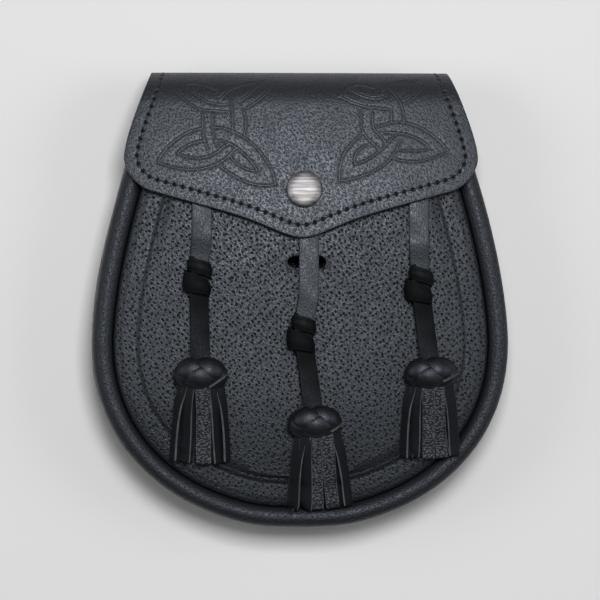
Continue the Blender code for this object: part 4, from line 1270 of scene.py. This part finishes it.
def make_knob(tassel):
    """One leather band plaited three times round the end of the strap."""
    middle, across, down = hang_frame(tassel)
    up = np.array([0, 0, 1.0])
    outer, height, axial = KNOB_WIDTH / 2, KNOB_THICKNESS / 2, KNOB_LENGTH / 2 + 0.0006
    angles = np.linspace(0, 2 * math.pi, 721)
    ellipse = np.column_stack([outer * np.cos(angles), height * np.sin(angles)])
    lengths = lengths_along(ellipse)
    total = lengths[-1]

    def surface(s, v, depth):
        theta = np.interp(s % total, lengths, angles)
        v = np.clip(v, -1.45, 1.45)
        barrel, lift = np.cos(v) ** 0.85, np.sin(v)
        point = np.stack([outer * np.cos(theta) * barrel, axial * lift, height * np.sin(theta) * barrel], -1)
        normal = np.stack([np.cos(theta) * barrel / outer, lift / axial, np.sin(theta) * barrel / height], -1)
        point = point - unit(normal) * depth[..., None]
        return middle + point[..., :1] * across - point[..., 1:2] * down + point[..., 2:] * up

    steps = 170
    s = np.linspace(0, 3 * total, 3 * steps + 1)[:-1]
    phase = 2 * math.pi * BRAID_BIGHTS / 3 * (s - total / 4 + tassel["crossing"]) / total + math.pi / 2
    v = BRAID_WAVE * np.sin(phase)
    slope = BRAID_WAVE * axial * np.cos(phase) * 2 * math.pi * BRAID_BIGHTS / 3 / total
    size = np.hypot(1, slope)
    over = 0.0006 * (1 - np.sin(2 * phase))
    w = np.linspace(-1, 1, 17)
    outer_s = s[:, None] - w * BRAID_HALF * (slope / size)[:, None]
    outer_v = v[:, None] + w * BRAID_HALF / axial / size[:, None]
    crown = 0.0005 * np.abs(w) ** 3.5
    top = surface(outer_s, outer_v, over[:, None] + crown[None, :] + 0 * outer_v)
    bottom = surface(outer_s, outer_v, over[:, None] + BRAID_THICK - 0.4 * crown[None, :] + 0 * outer_v)
    rows = np.concatenate([top, bottom[:, ::-1]], axis=1)
    grain = np.zeros(rows.shape)
    ws = np.concatenate([w, w[::-1]])
    grain[..., 0] = ws * BRAID_HALF
    grain[..., 1] = s[:, None]
    tone = np.zeros(rows.shape)
    tone[..., 0] = np.where(np.abs(ws) > 0.97, 0.25, 0)
    rows, grain, tone = (np.concatenate([item, item[:1]]) for item in (rows, grain, tone))
    shell = Shell()
    shell.grid(rows, grain, tone, around=True)
    first, last = (np.array(point) for point in tassel["tail"])
    flat = first + (last - first) * np.linspace(-0.05, 1.08, 24)[:, None]
    theta = np.arccos(np.clip(flat[:, 0] / outer, -0.985, 0.985))
    lift = np.arcsin(np.clip(-flat[:, 1] / axial / 0.92, -0.98, 0.98))
    path = surface(np.interp(theta, angles, lengths), lift, np.full(len(flat), 0.0002))
    facing = path - middle
    sweep_band(shell, path, facing, 0.00042, 0.0012, corner=0.0003)
    knob = shell.build("tassel_knob_braid_" + tassel["name"], BRAID, merge=0.000001)
    finish_piece(knob, "smooth_leather", "tassel_knob_" + tassel["name"])


def make_fringe(tassel):
    middle, across, down = hang_frame(tassel)
    _, _, knob, end = tassel_points(tassel)
    length = np.linalg.norm(end - knob)
    shell = Shell()
    steps = 40
    share = np.linspace(0, 1, steps)
    for index, (at_top, at_end, width, tilt, lift_top, lift_end, short, kind) in enumerate(tassel["strips"]):
        start = KNOB_LENGTH / 2 - 0.0035
        stop = length - short / 1000
        distance = start + (stop - start) * share
        spread = share ** 0.9
        side = (at_top + (at_end - at_top) * spread) / 1000 * (0.90 + 0.10 * smooth(share * 3))
        side = side + 0.00025 * np.sin(share * 5 + index * 2.1)
        flat = knob + down[:2] * distance[:, None] + across[:2] * side[:, None]
        seat = seat_height(flat[:, 0], flat[:, 1], width / 2000 * abs(math.cos(math.radians(tilt))))
        high = middle[2] + lift_top / 1000
        fall = smooth(share * 1.25)
        tilt_now = np.radians(tilt) * (0.55 + 0.45 * smooth(share * 2))
        room = 0.0006 + np.abs(np.sin(tilt_now)) * width / 2000
        rest = seat + np.maximum(lift_end / 1000, room)
        zs = high + (rest - high) * fall
        path = np.column_stack([flat, zs])
        sin, cos = np.sin(tilt_now)[:, None], np.cos(tilt_now)[:, None]
        normals = -across[None] * sin + np.array([0, 0, 1.0]) * cos
        # painted shade: every strip is dark just under the knob, and flesh-side strips are darker down their
        # upper part
        dark = (0.35 if kind == 0 else 0.0) * (1 - smooth(share * 1.5)) + 0.6 * (1 - smooth(share * 9))
        dark = np.clip(dark, 0, 1)
        shift = 0.013 * (index + 1)
        sweep_band(shell, path, normals, width / 2000, STRIP_THICKNESS, 0.0002, 0.0, shift, kind, dark)
    fringe = shell.build("tassel_fringe_strips_" + tassel["name"], STRIPS)
    finish_piece(fringe, "smooth_leather", "tassel_fringe_" + tassel["name"])


# Belt loops

def make_belt_loop(name, side):
    shell = Shell()
    clear = LOOP_CLEAR / 2
    seat = LOOP_STAND - SEAT_GAP - LOOP_LEATHER
    ys = np.linspace(LOOP_HALF, -LOOP_HALF, 90)
    zs = LOOP_LEATHER / 2 + seat * smooth((np.abs(ys) - clear + 0.001) / (LOOP_RAMP + 0.001))
    x = side * LOOP_SPREAD * HALF_WIDTH
    path = np.column_stack([np.full(len(ys), x), LOOP_Y + ys, zs])
    down = np.tile((0.0, 0.0, -1.0), (len(path), 1))
    sweep_band(shell, path, down, LOOP_WIDTH / 2, LOOP_LEATHER, corner=0.0006, shift=0.1 * side)
    loop = shell.build(name + "_leather", PLAIN)
    finish_piece(loop, "smooth_leather", name)
    threads = Shell()
    for end in (-1, 1):
        for inset in (0.0018, 0.0058):
            y = LOOP_Y + end * (LOOP_HALF - inset)
            edges = np.linspace(-LOOP_WIDTH / 2 + 0.0022, LOOP_WIDTH / 2 - 0.0022, 6)
            for first, second in zip(edges, edges[1:]):
                share = np.linspace(0, 1, 7)
                xs = x + first + (second - first) * (0.08 + 0.84 * share)
                zs = seat + 0.0001 - 0.00035 * np.sin(math.pi * share)
                path = np.column_stack([xs, np.full(7, y), zs])
                round_thread(threads, path, np.tile((0.0, 0.0, -1.0), (7, 1)), LOOP_THREAD)
    finish_piece(threads.build(name + "_stitches", THREAD), "smooth_leather")


# Stage

FLOOR_SHADE = 0.73
WORLD_STRENGTH = 0.06
LIGHTS = (  # name, place, target, size in metres, watts
    ("overhead", (0.03, 0.27, 1.25), (0, 0.02, 0), 0.34, 12.0),
    ("left_soft", (-1.15, 0.12, 0.95), (0, 0, 0), 0.8, 5.0),
    ("right_soft", (1.15, 0.12, 0.95), (0, 0, 0), 0.8, 5.0),
)


def make_floor():
    material, shader, n = new_material("pale_floor")
    coordinates = n.tree.nodes.new("ShaderNodeTexCoord")
    shader.inputs["Base Color"].default_value = (*[FLOOR_SHADE] * 3, 1)
    mottle = n.noise(coordinates.outputs["Object"], 3)
    n.link(n.ranged(mottle, 0.3, 0.7, 0.88, 0.92), shader.inputs["Roughness"])
    shader.inputs["Specular IOR Level"].default_value = 0.1
    mesh = bpy.data.meshes.new("floor")
    mesh.from_pydata([(-4, -4, 0), (4, -4, 0), (4, 4, 0), (-4, 4, 0)], [], [(0, 1, 2, 3)])
    mesh.materials.append(material)
    floor = bpy.data.objects.new("floor", mesh)
    bpy.context.scene.collection.objects.link(floor)


def add_light(name, place, target, size, power):
    data = bpy.data.lights.new(name, "AREA")
    data.shape = "RECTANGLE"
    data.size = data.size_y = size
    data.energy = power
    light = bpy.data.objects.new(name, data)
    light.location = place
    light.rotation_euler = (Vector(target) - Vector(place)).to_track_quat("-Z", "Y").to_euler()
    bpy.context.scene.collection.objects.link(light)


def make_lights():
    world = bpy.data.worlds.new("studio")
    world.use_nodes = True
    background = world.node_tree.nodes["Background"]
    background.inputs[0].default_value = (0.96, 0.98, 1.0, 1)
    background.inputs[1].default_value = WORLD_STRENGTH
    bpy.context.scene.world = world
    bpy.context.scene.view_settings.view_transform = "Standard"
    for light in LIGHTS:
        add_light(*light)


CAMERA_TILT = math.radians(3)
CAMERA_DISTANCE = 1.6
FIELD_WIDTH = 600 * 0.00043
FIELD_HEIGHT = 0.030


def make_camera():
    data = bpy.data.cameras.new("camera")
    data.sensor_width = 36
    data.lens = 36 * CAMERA_DISTANCE / FIELD_WIDTH
    data.clip_start, data.clip_end = 0.1, 20
    camera = bpy.data.objects.new("camera", data)
    right = Vector((math.cos(CAMERA_TILT), 0, math.sin(CAMERA_TILT)))
    back = Vector((-math.sin(CAMERA_TILT), 0, math.cos(CAMERA_TILT)))
    up = Vector((0, 1, 0))
    target = Vector((-0.00022, 0, FIELD_HEIGHT))
    turn = Matrix((right, up, back)).transposed().to_4x4()
    camera.matrix_world = Matrix.Translation(target + back * CAMERA_DISTANCE) @ turn
    bpy.context.scene.collection.objects.link(camera)
    bpy.context.scene.camera = camera


def main():
    make_camera()
    make_floor()
    make_lights()
    make_gusset()
    make_front_panel()
    make_back_panel()
    make_flap()
    make_snap()
    for tassel in TASSELS:
        make_strap(tassel)
        make_knot(tassel)
        make_knob(tassel)
        make_fringe(tassel)
    make_belt_loop("belt_loop_left", -1)
    make_belt_loop("belt_loop_right", 1)


main()
